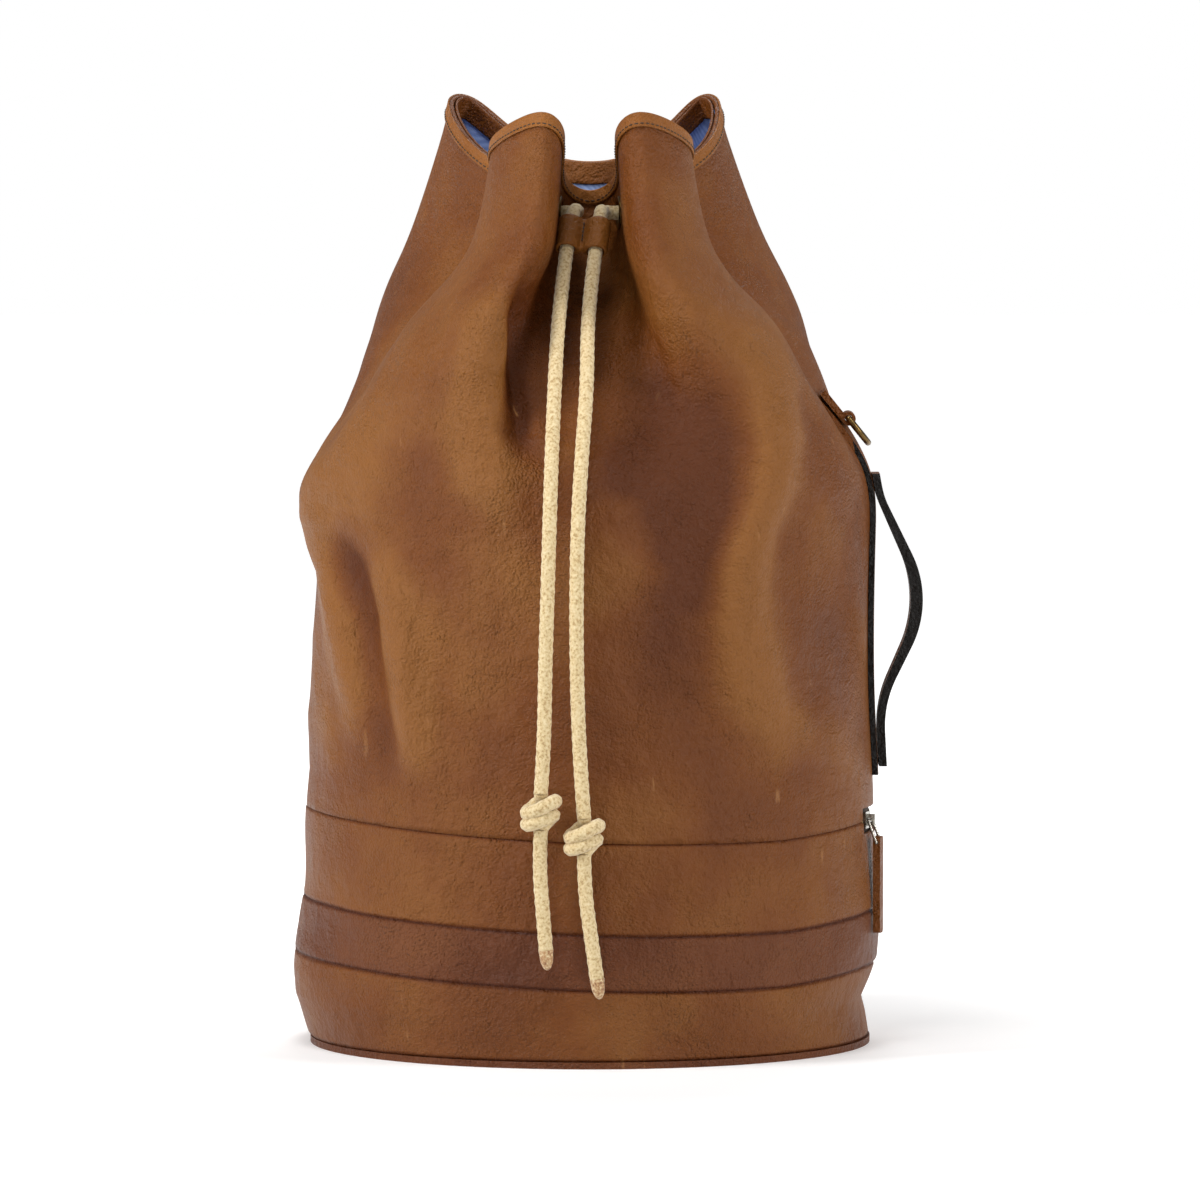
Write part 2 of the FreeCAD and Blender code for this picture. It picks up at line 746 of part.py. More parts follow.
CORD, KNOT = size("cord_radius"), size("knot_radius")
KNOT_CAP = math.degrees(math.acos(CORD / KNOT))
KNOT_REACH = Vector(0, 0, KNOT * math.sin(math.radians(KNOT_CAP)))
for side in ("left", "right"):
    mouth = TOGGLE_CENTRE + CHANNELS[side] + HALF_TOGGLE
    centre = hung(KNOTS[side])
    tube(f"cord_tail_{side}", [mouth, *map(hung, TAILS[side]), centre + KNOT_REACH])
    knot = bind(doc.addObject("Part::Sphere", f"cord_knot_{side}"), Radius="knot_radius")
    knot.setExpression("Angle1", "-acos(Sizes.cord_radius / Sizes.knot_radius)")
    knot.setExpression("Angle2", "acos(Sizes.cord_radius / Sizes.knot_radius)")
    knot.Placement = Placement(centre, Rotation())
    piece(knot, f"cord_knot_{side}")
    end = [centre - KNOT_REACH, *map(hung, ENDS[side])]
    tube(f"cord_end_{side}", end)
    tip = bind(doc.addObject("Part::Cone", f"cord_tip_{side}"),
               Radius1="cord_radius", Radius2="tip_radius", Height="tip_length")
    tip.Placement = along(end[-1], end[-1] - end[-2])
    piece(tip, f"cord_tip_{side}")


# ---------------------------------------------------------------------------------------------
# Cord toggle: one strip of leather sewn into two channels side by side
# ---------------------------------------------------------------------------------------------
def toggle_shape():
    length, spacing = size("toggle_length"), size("toggle_spacing")
    bore, web = total("cord_radius + toggle_bore_play"), size("toggle_web")
    outer = bore + size("toggle_wall")
    solid = Part.makeBox(spacing, web, length, Vector(-spacing / 2, -web / 2, 0))
    centres = [Vector(side * spacing / 2, 0, 0) for side in (-1, 1)]
    solid = solid.fuse([Part.makeCylinder(outer, length, centre) for centre in centres])
    return solid.cut([Part.makeCylinder(bore, length, centre) for centre in centres])


TOGGLE_TURN = Rotation(ACROSS, TOGGLE_AXIS.cross(ACROSS), TOGGLE_AXIS, "ZXY")
shaped("cord_toggle", toggle_shape(), Placement(TOGGLE_CENTRE - HALF_TOGGLE, TOGGLE_TURN))


# ---------------------------------------------------------------------------------------------
# Carrying handle: two straps with a filler between them, bowed out from the side strip
# ---------------------------------------------------------------------------------------------
def handle_curve(tail, bow):
    """One face of a layer, at a distance from the strip along the tails and along the bow."""
    heights = [size(name) for name in ("handle_low", "handle_foot", "handle_head")]
    heights.append(total("handle_head + handle_head_tail"))
    feet = [Vector(strip_point(z).x + tail, 0, z) for z in heights]
    middle = 0.5 * (feet[1] + feet[2]) + Vector(bow - tail + size("handle_standoff"), 0, 0)
    return [feet[0], feet[1], middle, feet[2], feet[3]]


def handle_layer(label, inner, outer):
    """A layer of the handle between two faces, each given as its tail and bow distances."""
    near, far = handle_curve(*inner), handle_curve(*outer)
    edges = rounded(near) + [Part.LineSegment(near[-1], far[-1]).toShape()]
    edges += rounded(far[::-1]) + [Part.LineSegment(far[0], near[0]).toShape()]
    half = Vector(0, size("handle_width") / 2, 0)
    face = Part.Face(Part.Wire(Part.__sortEdges__(edges)))
    face.translate(-half)
    return shaped(label, face.extrude(half * 2))


THIN = 0.05
SKIVED = 0.6
STRAP, FILLER = size("handle_leather"), size("handle_filler")
BACK_FACE = PLAY + STRAP
handle_layer("handle_backing", (PLAY, PLAY), (BACK_FACE, BACK_FACE))
handle_layer("handle_filler", (BACK_FACE + THIN, BACK_FACE + THIN),
             (BACK_FACE + THIN + SKIVED, BACK_FACE + THIN + FILLER))
FRONT_FACE = BACK_FACE + 2 * THIN
handle_layer("handle_strap", (FRONT_FACE + SKIVED, FRONT_FACE + FILLER),
             (FRONT_FACE + SKIVED + STRAP, FRONT_FACE + FILLER + STRAP))


# ---------------------------------------------------------------------------------------------
# D-ring and the folded leather tab that holds it, above the handle
# ---------------------------------------------------------------------------------------------
def bars(radius, corners, closed=True):
    """Round wire along straight runs, with a ball at each corner."""
    ends = corners[1:] + (corners[:1] if closed else [])
    rods = [Part.makeCylinder(radius, (b - a).Length, a, b - a) for a, b in zip(corners, ends)]
    balls = [Part.makeSphere(radius, corner) for corner in corners]
    return rods[0].fuse(rods[1:] + balls).removeSplitter()


RING_WIRE, RING_HALF = size("ring_wire"), size("ring_width") / 2
RING_SEAT = strip_point(size("ring_height"))
RING_RISE = (strip_point(size("ring_height") + 8) - RING_SEAT).normalize()
SLOPE = math.degrees(math.atan2(-RING_RISE.x, RING_RISE.z))
TAB_LEATHER = size("tab_leather")
RING_TURN = Rotation(Vector(0, 1, 0), -SLOPE)
RING_STAND = PLAY + TAB_LEATHER + PLAY + RING_WIRE
RING_CENTRE = Vector(RING_SEAT.x, 0, RING_SEAT.z) + RING_TURN.multVec(Vector(RING_STAND, 0, 0))


def d_ring_shape():
    """A straight bar, two short sides and half a torus, hanging down from the bar."""
    side = size("ring_depth") - RING_HALF
    corners = [Vector(0, -RING_HALF, -side), Vector(0, -RING_HALF, 0),
               Vector(0, RING_HALF, 0), Vector(0, RING_HALF, -side)]
    bow = Part.makeTorus(RING_HALF, RING_WIRE, Vector(0, 0, -side), Vector(1, 0, 0))
    room = 2 * size("ring_width")
    lower = Part.makeBox(room, room, room, Vector(-room / 2, -room / 2, -room - side))
    return bars(RING_WIRE, corners, closed=False).fuse(bow.common(lower))


def d_ring_tab_shape():
    """Leather folded round the bar, its two plies lying on the strip above it."""
    width, eye = size("tab_width"), RING_WIRE + PLAY
    low = Vector(0, -width / 2, 0)
    across = Vector(0, 1, 0)
    loop = Part.makeCylinder(eye + TAB_LEATHER, width, low, across)
    plies = Part.makeBox(2 * TAB_LEATHER, width, size("tab_length") + eye,
                         Vector(-RING_STAND + PLAY, -width / 2, 0))
    return loop.fuse(plies).cut(Part.makeCylinder(eye, width, low, across))


shaped("d_ring", d_ring_shape(), Placement(RING_CENTRE, RING_TURN))
tab = d_ring_tab_shape()
tab.Placement = Placement(RING_CENTRE, RING_TURN)
STRIP_LEVELS = level_at(SIDE, size("strip_low")), level_at(SIDE, size("strip_high"))
shaped("d_ring_tab", tab.cut(patch(GAP, STRIP_FACE + PLAY / 2, *STRIP_EDGES, *STRIP_LEVELS)))


# ---------------------------------------------------------------------------------------------
# Zip end stops, pull link and leather puller
# ---------------------------------------------------------------------------------------------
def end_stops():
    """A clamp over both rows of teeth at each end of the zip."""
    margin, rows = size("zip_margin"), 2 * (size("row_height") + size("row_gap"))
    height = size("zip_seam_height")
    clamps = []
    for angle in (size("zip_start"), size("zip_start") + size("zip_sweep") - margin):
        outer = Part.makeCylinder(total(ROW_OUTER), rows, Vector(0, 0, height - rows / 2),
                                  Vector(0, 0, 1), margin)
        inner = Part.makeCylinder(size("row_inner_radius"), rows, Vector(0, 0, height - rows / 2))
        clamp = outer.cut(inner)
        clamp.rotate(Vector(), Vector(0, 0, 1), angle)
        clamps.append(clamp)
    return Part.makeCompound(clamps)


shaped("zip_end_stops", end_stops())

EYE = Vector(total(EYE_RADIUS), 0, size("zip_seam_height"))
LEAN = Rotation(Vector(0, 1, 0), -size("link_lean"))
TO_SLIDER = turned_to(size("slider_angle"))
WIRE, LINK_HALF, LINK_LENGTH = size("link_wire"), size("link_width") / 2, size("link_length")
link = bars(WIRE, [Vector(0, -LINK_HALF, 0), Vector(0, LINK_HALF, 0),
                   Vector(0, LINK_HALF, -LINK_LENGTH), Vector(0, -LINK_HALF, -LINK_LENGTH)])
shaped("zip_pull_link", link, TO_SLIDER.multiply(Placement(EYE, LEAN)))


def puller_shape():
    """A leather tab with rounded ends and a hole for the link, hanging from the hole."""
    thick, width, length = (size(f"puller_{name}") for name in ("thickness", "width", "length"))
    tab_box = Part.makeBox(thick, width, length,
                           Vector(-thick / 2, -width / 2, size("puller_above_hole") - length))
    corners = [edge for edge in tab_box.Edges if abs(edge.tangentAt(0).x) > 0.9]
    rounded_tab = tab_box.makeFillet(size("puller_corner"), corners)
    bore = size("puller_bore")
    return rounded_tab.cut(Part.makeCylinder(bore, width, Vector(0, -width / 2, 0), Vector(0, 1, 0)))


LINK_END = EYE + LEAN.multVec(Vector(0, 0, -LINK_LENGTH))
shaped("zip_puller", puller_shape(), TO_SLIDER.multiply(Placement(LINK_END, Rotation())))


# ---------------------------------------------------------------------------------------------
# Check every object, then write each sub-part to its own file
# ---------------------------------------------------------------------------------------------
doc.recompute()
for item in doc.Objects:
    if {"Invalid", "Error"} & set(item.State):
        raise RuntimeError(f"{item.Label} failed: {item.State}")
os.makedirs("parts", exist_ok=True)
for item in pieces:
    if item.Shape.isNull() or not item.Shape.isValid() or not item.Shape.Solids:
        raise RuntimeError(f"{item.Label} has no valid solid")
    item.Shape.exportStep(f"parts/{item.Label}.step")
print(f"{len(pieces)} sub-parts written")
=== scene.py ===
# %% [markdown]
# # A leather drawstring duffel bag
# This notebook dresses a bare construction model as a real bag: pebbled leather, a gathered mouth,
# braided cotton cord, antique brass eyelets and a zip. Every surface is worked out as whole arrays
# of numbers, so one formula can be read, changed and tried again.

import math

import bpy
import numpy as np
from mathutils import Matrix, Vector


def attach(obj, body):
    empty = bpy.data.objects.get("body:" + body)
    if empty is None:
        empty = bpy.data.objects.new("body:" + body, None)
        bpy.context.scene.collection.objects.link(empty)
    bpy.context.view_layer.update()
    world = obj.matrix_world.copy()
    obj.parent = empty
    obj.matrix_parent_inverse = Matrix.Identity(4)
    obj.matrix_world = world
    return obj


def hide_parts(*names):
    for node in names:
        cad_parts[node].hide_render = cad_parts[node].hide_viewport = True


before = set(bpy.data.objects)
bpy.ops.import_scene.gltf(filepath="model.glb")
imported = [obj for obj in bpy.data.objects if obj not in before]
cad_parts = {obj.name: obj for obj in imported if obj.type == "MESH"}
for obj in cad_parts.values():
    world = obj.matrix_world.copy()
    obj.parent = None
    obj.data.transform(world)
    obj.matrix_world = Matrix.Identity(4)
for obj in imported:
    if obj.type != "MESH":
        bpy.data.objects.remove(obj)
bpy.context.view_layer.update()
MM = 0.001

# %% [markdown]
# ## Camera and floor
# A long lens from nearly six metres away keeps the bag's sides upright, as in a catalogue picture.
# The camera stands a little above the mouth and looks slightly down, which is why the band seams
# curve. The floor is one wide pale sheet under a white room, so no edge shows from any side.

# %% Camera
camera_data = bpy.data.cameras.new("catalogue_camera")
camera = bpy.data.objects.new("catalogue_camera", camera_data)
bpy.context.scene.collection.objects.link(camera)
camera_data.lens = 295.0
camera_data.sensor_width = 36.0
camera_data.clip_end = 60.0
camera.location = (0.006, -5.9, 0.62)
camera.rotation_euler = (math.radians(90 - 3.44), 0, 0)
bpy.context.scene.camera = camera

# %% [markdown]
# ## Helpers for meshes
# Most pieces are a grid of points: rows and columns that follow the surface. One helper turns such
# a grid into quads, and closes it in either direction. It also writes a UV map from the row and
# column numbers, and turns the faces round if the closed shape has come out inside out.

# %% Grid to mesh
def outward_sign(points, quads):
    """The sign of the volume: a sum of each quad's centre dotted with its area vector."""
    a, b, c, d = (points[quads[:, k]] for k in range(4))
    area = 0.5 * np.cross(c - a, d - b)
    return np.sign(np.einsum("ij,ij->", (a + b + c + d) / 4 - points.mean(0), area))


def mesh_piece(name, points, quads, loops_uv=None, smooth=True, values=None):
    """An object at the origin from points in millimetres and quads of point numbers."""
    points = np.asarray(points, float).reshape(-1, 3)
    if outward_sign(points, quads) < 0:
        quads = quads[:, ::-1]
        loops_uv = None if loops_uv is None else loops_uv[:, ::-1]
    mesh = bpy.data.meshes.new(name)
    mesh.vertices.add(len(points))
    mesh.vertices.foreach_set("co", (points * MM).astype(np.float32).ravel())
    mesh.loops.add(4 * len(quads))
    mesh.loops.foreach_set("vertex_index", quads.astype(np.int32).ravel())
    mesh.polygons.add(len(quads))
    mesh.polygons.foreach_set("loop_start", np.arange(0, 4 * len(quads), 4, dtype=np.int32))
    if loops_uv is not None:
        layer = mesh.uv_layers.new(name="UVMap")
        layer.data.foreach_set("uv", loops_uv.astype(np.float32).ravel())
    for key, value in (values or {}).items():
        layer = mesh.attributes.new(key, "FLOAT", "POINT")
        layer.data.foreach_set("value", np.asarray(value, np.float32).ravel())
    mesh.update(calc_edges=True)
    mesh.validate()
    mesh.polygons.foreach_set("use_smooth", np.full(len(mesh.polygons), smooth))
    piece = bpy.data.objects.new(name, mesh)
    bpy.context.scene.collection.objects.link(piece)
    return piece


def grid_quads(rows, columns, close_rows, close_columns):
    """Quads between neighbouring grid points, and the row and column of each corner."""
    i = np.arange(rows if close_rows else rows - 1)
    j = np.arange(columns if close_columns else columns - 1)
    i, j = (x.ravel() for x in np.meshgrid(i, j, indexing="ij"))
    corner_rows = np.stack([i, i, i + 1, i + 1], 1)
    corner_columns = np.stack([j, j + 1, j + 1, j], 1)
    quads = (corner_rows % rows) * columns + corner_columns % columns
    return quads, corner_rows, corner_columns


def grid_piece(name, grid, close_rows=False, close_columns=False, scale_uv=(1, 1), values=None):
    """A piece from a rows by columns grid of points, with a UV map in rows and columns."""
    rows, columns = grid.shape[:2]
    quads, r, c = grid_quads(rows, columns, close_rows, close_columns)
    uv = np.stack([c / columns * scale_uv[0], r / max(rows - 1, 1) * scale_uv[1]], 2)
    return mesh_piece(name, grid, quads, uv, values=values)


def joined(name, grids, close_rows=False, close_columns=False, scale_uv=(1, 1)):
    """Several grids as one piece."""
    points, quads, uvs, start = [], [], [], 0
    for grid in grids:
        rows, columns = grid.shape[:2]
        q, r, c = grid_quads(rows, columns, close_rows, close_columns)
        points.append(grid.reshape(-1, 3))
        quads.append(q + start)
        uvs.append(np.stack([c / columns * scale_uv[0], r / (rows - 1) * scale_uv[1]], 2))
        start += rows * columns
    return mesh_piece(name, np.concatenate(points), np.concatenate(quads), np.concatenate(uvs))


# %% [markdown]
# ## The cords first
# The drawcord is a 9 mm braided cotton cord. Each free end hangs from the toggle over the belly of
# the bag to an overhand knot. Its line is a smooth spline through the same points as the
# construction model's tube. The braid is real geometry: two families of strands wind round the
# cord in opposite directions, and each passes over and under the other.

# %% The routes, in millimetres
CORD_RADIUS = 4.5
DRAWCORD_ROUTE = [
    (-13.66, -88.28, 478.1), (-10.56, -69.09, 502.24), (-5.61, -53.59, 499.09),
    (-28.84, -50.75, 499.09), (-39.39, -33.32, 499.16), (-54.61, -21.28, 499.16),
    (-58.14, 6.58, 499.48), (-46.72, 22.26, 499.48), (-36.1, 40.96, 499.21),
    (-20.7, 52.76, 499.21), (20.25, 52.75, 499.29), (35.97, 41.39, 499.29),
    (46.72, 22.26, 499.48), (58.14, 6.58, 499.48), (54.6, -21.27, 499.15),
    (39.4, -33.33, 499.15), (28.84, -50.75, 499.09), (7.6, -53.34, 499.09),
    (6.35, -70.15, 500.91), (3.26, -89.34, 476.77),
]
TAIL_ROUTES = {
    "left": [(-13.66, -88.28, 478.1), (-18.4, -117.3, 441.4), (-20.5, -146.0, 401.0),
             (-22.0, -170.0, 364.0), (-23.3, -180.5, 324.0), (-24.5, -184.0, 280.0),
             (-26.0, -185.0, 235.0), (-26.5, -185.5, 193.0), (-28.5, -186.0, 163.18)],
    "right": [(3.26, -89.34, 476.77), (-1.4, -117.3, 441.4), (-1.5, -146.0, 400.0),
              (-4.5, -170.0, 362.0), (-7.0, -180.5, 321.0), (-7.8, -184.0, 276.0),
              (-7.5, -185.0, 231.0), (-6.0, -185.5, 187.0), (-3.3, -186.0, 148.88)],
}
END_ROUTES = {
    "left": [(-28.5, -186.0, 142.02), (-29.4, -186.4, 121.0), (-27.6, -186.6, 97.0),
             (-25.6, -186.0, 72.0)],
    "right": [(-3.3, -186.0, 127.72), (-3.0, -186.4, 107.0), (0.4, -186.6, 82.0),
              (4.2, -186.0, 55.0)],
}
KNOT_CENTRES = {"left": (-28.5, -186.0, 152.6), "right": (-3.3, -186.0, 138.3)}


# %% Points along a smooth line
def spline_line(route, spacing=0.6):
    """Evenly spaced points along the NURBS spline that has the route as its control points."""
    curve = bpy.data.curves.new("line", "CURVE")
    curve.dimensions = "3D"
    curve.resolution_u = 40
    spline = curve.splines.new("NURBS")
    spline.points.add(len(route) - 1)
    for point, place in zip(spline.points, route):
        point.co = (*place, 1)
    spline.order_u = 3
    spline.use_endpoint_u = True
    holder = bpy.data.objects.new("line", curve)
    mesh = bpy.data.meshes.new_from_object(holder)
    line = np.array([v.co for v in mesh.vertices], float)
    bpy.data.objects.remove(holder)
    run = np.concatenate([[0], np.cumsum(np.linalg.norm(np.diff(line, axis=0), axis=1))])
    steps = np.linspace(0, run[-1], max(int(run[-1] / spacing), 8) + 1)
    return np.stack([np.interp(steps, run, line[:, k]) for k in range(3)], 1), run[-1]


def unit(vectors):
    return vectors / np.linalg.norm(vectors, axis=-1, keepdims=True)


def frames_along(line, start_side=(1.0, 0.0, 0.0)):
    """Two directions square to the line at each point, carried along with no twist."""
    along = unit(np.gradient(line, axis=0))
    sides = np.zeros_like(line)
    side = np.array(start_side, float)
    for k, forward in enumerate(along):
        side = side - forward * (side @ forward)
        side = side / np.linalg.norm(side)
        sides[k] = side
    return sides, np.cross(along, sides)


def braid_relief(run, turn, pitch=7.0, strands=6):
    """How far the braid stands out, from 0 to 1, at a distance along and an angle round a cord.

    Each family of strands is a cosine that winds one way. Where the two families cross, a
    checkerboard decides which one lies on top, and the lower one is pushed in.
    """
    one = turn * strands + 2 * np.pi * run / pitch
    other = turn * strands - 2 * np.pi * run / pitch
    over = 0.5 + 0.5 * np.tanh(3 * np.sin((one + other) / 2) * np.sin((one - other) / 2))
    first, second = np.cos(one / 2) ** 2, np.cos(other / 2) ** 2
    return np.maximum(first * (0.4 + 0.6 * over), second * (1 - 0.6 * over))


def braided_tube(name, line, radius, sides=40, height=0.55, shrink=None, cap=True):
    """A tube of braid along a line: radius plus relief, with its ends drawn in to a point."""
    side, up = frames_along(line)
    run = np.concatenate([[0], np.cumsum(np.linalg.norm(np.diff(line, axis=0), axis=1))])
    turn = np.linspace(0, 2 * np.pi, sides, endpoint=False)
    relief = braid_relief(run[:, None], turn[None, :])
    reach = radius - height + height * relief
    if shrink is not None:
        reach = reach * shrink(run / run[-1])[:, None]
    grid = (line[:, None, :] + reach[..., None] * (
        np.cos(turn)[None, :, None] * side[:, None, :]
        + np.sin(turn)[None, :, None] * up[:, None, :]))
    if cap:
        low = line[0] + (grid[:1] - line[0]) * 0.02
        high = line[-1] + (grid[-1:] - line[-1]) * 0.02
        grid = np.concatenate([low, grid, high])
    tube = grid_piece(name, grid, close_columns=True, scale_uv=(1, run[-1] / 7.0))
    return tube


# %% Free ends of the cord
tails, tail_lines = {}, {}
for side in ("left", "right"):
    line, length = spline_line(TAIL_ROUTES[side])
    tail_lines[side] = (line, length)
    tails[side] = braided_tube(f"cord_tail_{side}_braid", line, CORD_RADIUS)
    print(side, "tail", round(length, 1), "mm")
ends, end_lines = {}, {}
for side in ("left", "right"):
    line, length = spline_line(END_ROUTES[side])
    end_lines[side] = (line, length)
    ends[side] = braided_tube(f"cord_end_{side}_braid", line, CORD_RADIUS)
    print(side, "end", round(length, 1), "mm")

# %% [markdown]
# ## Overhand knots
# Each free end is tied in an overhand knot. The cord comes down, passes behind, comes round the
# left side, lies across the front as one fat turn, goes round the right side and leaves downwards.
# The strand is squeezed in a knot, so the turns press into each other.

# %% Knots
KNOT_PATH = [
    (0.0, 0.0, 11.5), (0.2, 1.0, 9.2), (0.0, 5.0, 6.6), (-4.5, 6.0, 2.6), (-8.6, 1.6, -0.3),
    (-7.4, -5.0, -0.6), (-0.5, -8.6, 2.5), (6.6, -6.4, 6.2), (9.2, 0.0, 7.0), (6.0, 6.0, 3.7),
    (-1.0, 7.4, -1.4), (-7.0, 4.4, -5.9), (-8.6, -1.4, -7.4), (-4.6, -6.2, -6.4),
    (2.0, -6.6, -3.6), (7.2, -3.6, -1.2), (7.4, 2.0, -2.0), (3.6, 4.0, -5.6), (0.4, 1.0, -9.4),
    (0.0, 0.0, -11.5),
]
knots = {}
for side in ("left", "right"):
    centre = np.array(KNOT_CENTRES[side])
    line, length = spline_line([tuple(centre + np.array(p)) for p in KNOT_PATH])
    knots[side] = braided_tube(f"overhand_knot_{side}", line, CORD_RADIUS - 0.1, sides=36)
    print(side, "knot takes", round(length, 1), "mm of cord")

# %% [markdown]
# ## Glued tips
# The cut ends are dipped in glue and rolled to a blunt point, which stops the braid from fraying.
# The tip is the same braid, drawn in along a quarter of an ellipse, and the glue fills its hollows.

# %% Tips
tips = {}
for side in ("left", "right"):
    line = end_lines[side][0]
    direction = unit(line[-1] - line[-3])
    steps = np.linspace(0, 12.0, 26)
    tip_line = line[-1] + direction * steps[:, None]
    tips[side] = braided_tube(
        f"glued_tip_{side}", tip_line, CORD_RADIUS, height=0.35,
        shrink=lambda t: np.sqrt(np.clip(1 - (t * 1.0) ** 3.2, 0.02, 1)) * (1 - 0.12 * t))

# %% The cord through the eyelets
drawcord_line, drawcord_length = spline_line(DRAWCORD_ROUTE)
drawcord = braided_tube("drawcord_braid", drawcord_line, CORD_RADIUS, sides=32)
print("drawcord", round(drawcord_length, 1), "mm")

# %% [markdown]
# ## The shape of the gathered panel
# The big front panel is one piece of leather. It is round at the zip seam and folded into four
# lobes at the mouth, where the drawcord pulls it in. Its surface is a cubic spline over rows of
# control points: each row is a blend of a circle and the drawn-in outline. The leather keeps its
# length, so a point keeps its share of the edge on every row.

# %% Control points of the panel
FRONT_VALLEY, BACK_VALLEY = (0, -22), (0, 27)
LEFT_OUTLINE = [
    (-17, -36), (-20, -72), (-20, -112), (-34, -142), (-55, -116), (-68, -80), (-66, -50),
    (-46, -20), (-24, -5), (-50, 9), (-84, 33), (-105, 70), (-118, 106), (-98, 128),
    (-70, 104), (-46, 76), (-24, 40),
]
RIGHT_OUTLINE = [(-x, y) for x, y in reversed(LEFT_OUTLINE)]
# how far each point leans towards the middle at the mouth
LEFT_LEAN = [0, 0, 4, 5, 5, 3, 0, 0, 0, 0, 4, 9, 13, 10, 6, 2, 0]
RIGHT_LEAN = [0, 0, 4, 4, 1, 0, 0, 0, 0, 0, 4, 14, 22, 17, 10, 4, 0]
LEAN = np.array([0, *LEFT_LEAN, 0, *(-lean for lean in reversed(RIGHT_LEAN))], float)
GATHERED_LEAN = 0.65
# the edge stands a little higher round the back valley, so the lining shows over the front one
BACK_POLES = np.arange(16, 21)
BACK_RISE = np.array([3.0, 10.0, 16.0, 10.0, 3.0])
DRAWN = np.array([FRONT_VALLEY, *LEFT_OUTLINE, BACK_VALLEY, *RIGHT_OUTLINE], float)
STEPS = np.linalg.norm(np.roll(DRAWN, -1, 0) - DRAWN, axis=1)
AROUND = STEPS.sum()
RUN = np.concatenate([[0], np.cumsum(STEPS)[:-1]])
ANGLE = -np.pi / 2 - 2 * np.pi * RUN / AROUND
REACH = 3 / (2 + np.cos(np.pi * (np.roll(STEPS, 1) + STEPS) / AROUND))
ROUND = np.stack([np.cos(ANGLE), np.sin(ANGLE)], 1) * REACH[:, None]

SEAM, SEAM_RADIUS, BODY, WAIST, SHOULDER, CORD_LEVEL = 136.0, 170.5, 167.0, 200.0, 325.0, 494.0
MOUTH, MOUTH_VALLEY, MOUTH_SHRINK = CORD_LEVEL + 69.5, CORD_LEVEL + 17.5, 0.86
NECK_FOOT = SHOULDER + 20


def neck(share):
    return NECK_FOOT + share * (CORD_LEVEL - NECK_FOOT)


GATHERED = neck(0.92)
LEVELS = [
    (SEAM, SEAM_RADIUS, 0.0, 1.0, 0.0), (SEAM + 12, SEAM_RADIUS, 0.0, 1.0, 0.0),
    (SEAM + 36, SEAM_RADIUS - 1, 0.0, 1.0, 0.0), (WAIST + 10, BODY, 0.0, 1.0, 0.0),
    (0.5 * (WAIST + SHOULDER), BODY, 0.0, 1.0, 0.0), (SHOULDER - 20, BODY + 1, 0.0, 1.0, 0.0),
    (NECK_FOOT, BODY + 2, 0.0, 1.0, 0.0), (neck(0.235), BODY, 0.2, 1.15, 0.0),
    (neck(0.557), BODY, 0.55, 1.2, 0.1), (neck(0.785), BODY, 0.9, 1.1, 0.4),
    (GATHERED, BODY, 1.0, 1.04, GATHERED_LEAN),
]
RIM_DROPS = (24, 12, 4, 0)


def control_net():
    """Rows of control points from the seam to the rim, each as x, y and height."""
    rows = []
    for height, radius, drawn_in, scale, lean in LEVELS:
        flat = ROUND * radius * (1 - drawn_in) + DRAWN * drawn_in * scale
        flat[:, 0] += LEAN * lean
        rows.append(np.column_stack([flat, np.full(len(flat), height)]))
    reach = np.linalg.norm(DRAWN * MOUTH_SHRINK, axis=1)
    rim = MOUTH_VALLEY + (MOUTH - MOUTH_VALLEY) * (reach - 24.0) / 104.0
    rim[BACK_POLES] += BACK_RISE
    for drop in RIM_DROPS:
        share = (rim - drop - GATHERED) / (MOUTH - GATHERED)
        flat = DRAWN * (1 + share * (MOUTH_SHRINK - 1))[:, None]
        flat[:, 0] += LEAN * (GATHERED_LEAN + (1 - GATHERED_LEAN) * share)
        rows.append(np.column_stack([flat, rim - drop]))
    return np.array(rows)


NET = control_net()
TOP = len(NET) - 3


# %% Evaluate the spline
def ring_weights(turns, count):
    """Weights of a closed uniform cubic spline: each turn blends four neighbouring points."""
    weights = np.zeros((len(turns), count))
    base, f = np.floor(turns).astype(int), turns % 1
    shares = [(1 - f) ** 3, 3 * f ** 3 - 6 * f ** 2 + 4,
              -3 * f ** 3 + 3 * f ** 2 + 3 * f + 1, f ** 3]
    for k, share in enumerate(shares):
        weights[np.arange(len(turns)), (base + k - 1) % count] += share / 6
    return weights


def row_weights(levels, count):
    """Weights of a clamped cubic spline, by the rule that builds each degree from the last."""
    knots = np.concatenate([[0] * 3, np.arange(count - 2), [count - 3] * 3]).astype(float)
    levels = np.clip(levels, 0, count - 3 - 1e-9)
    weights = ((levels[:, None] >= knots[None, :-1]) & (levels[:, None] < knots[None, 1:])) * 1.0
    for degree in (1, 2, 3):
        left, right = knots[:-degree - 1], knots[degree + 1:]
        span_left = knots[degree:-1] - left
        span_right = right - knots[1:-degree]
        rise = np.where(span_left > 0,
                        (levels[:, None] - left) / np.where(span_left > 0, span_left, 1), 0)
        fall = np.where(span_right > 0,
                        (right - levels[:, None]) / np.where(span_right > 0, span_right, 1), 0)
        weights = rise * weights[:, :-1] + fall * weights[:, 1:]
    return weights


def panel_points(levels, columns):
    """Points of the panel's outer face: one row per level, all the way round."""
    turns = np.linspace(0, len(DRAWN), columns, endpoint=False)
    return np.einsum("rk,kcd,tc->rtd", row_weights(levels, len(NET)), NET,
                     ring_weights(turns, len(DRAWN)))


def outward_normals(grid):
    """Unit normals of a grid closed round its columns, pointing away from the bag's inside."""
    round_step = np.roll(grid, -1, 1) - np.roll(grid, 1, 1)
    up_step = np.gradient(grid, axis=0)
    return unit(np.cross(up_step, round_step))


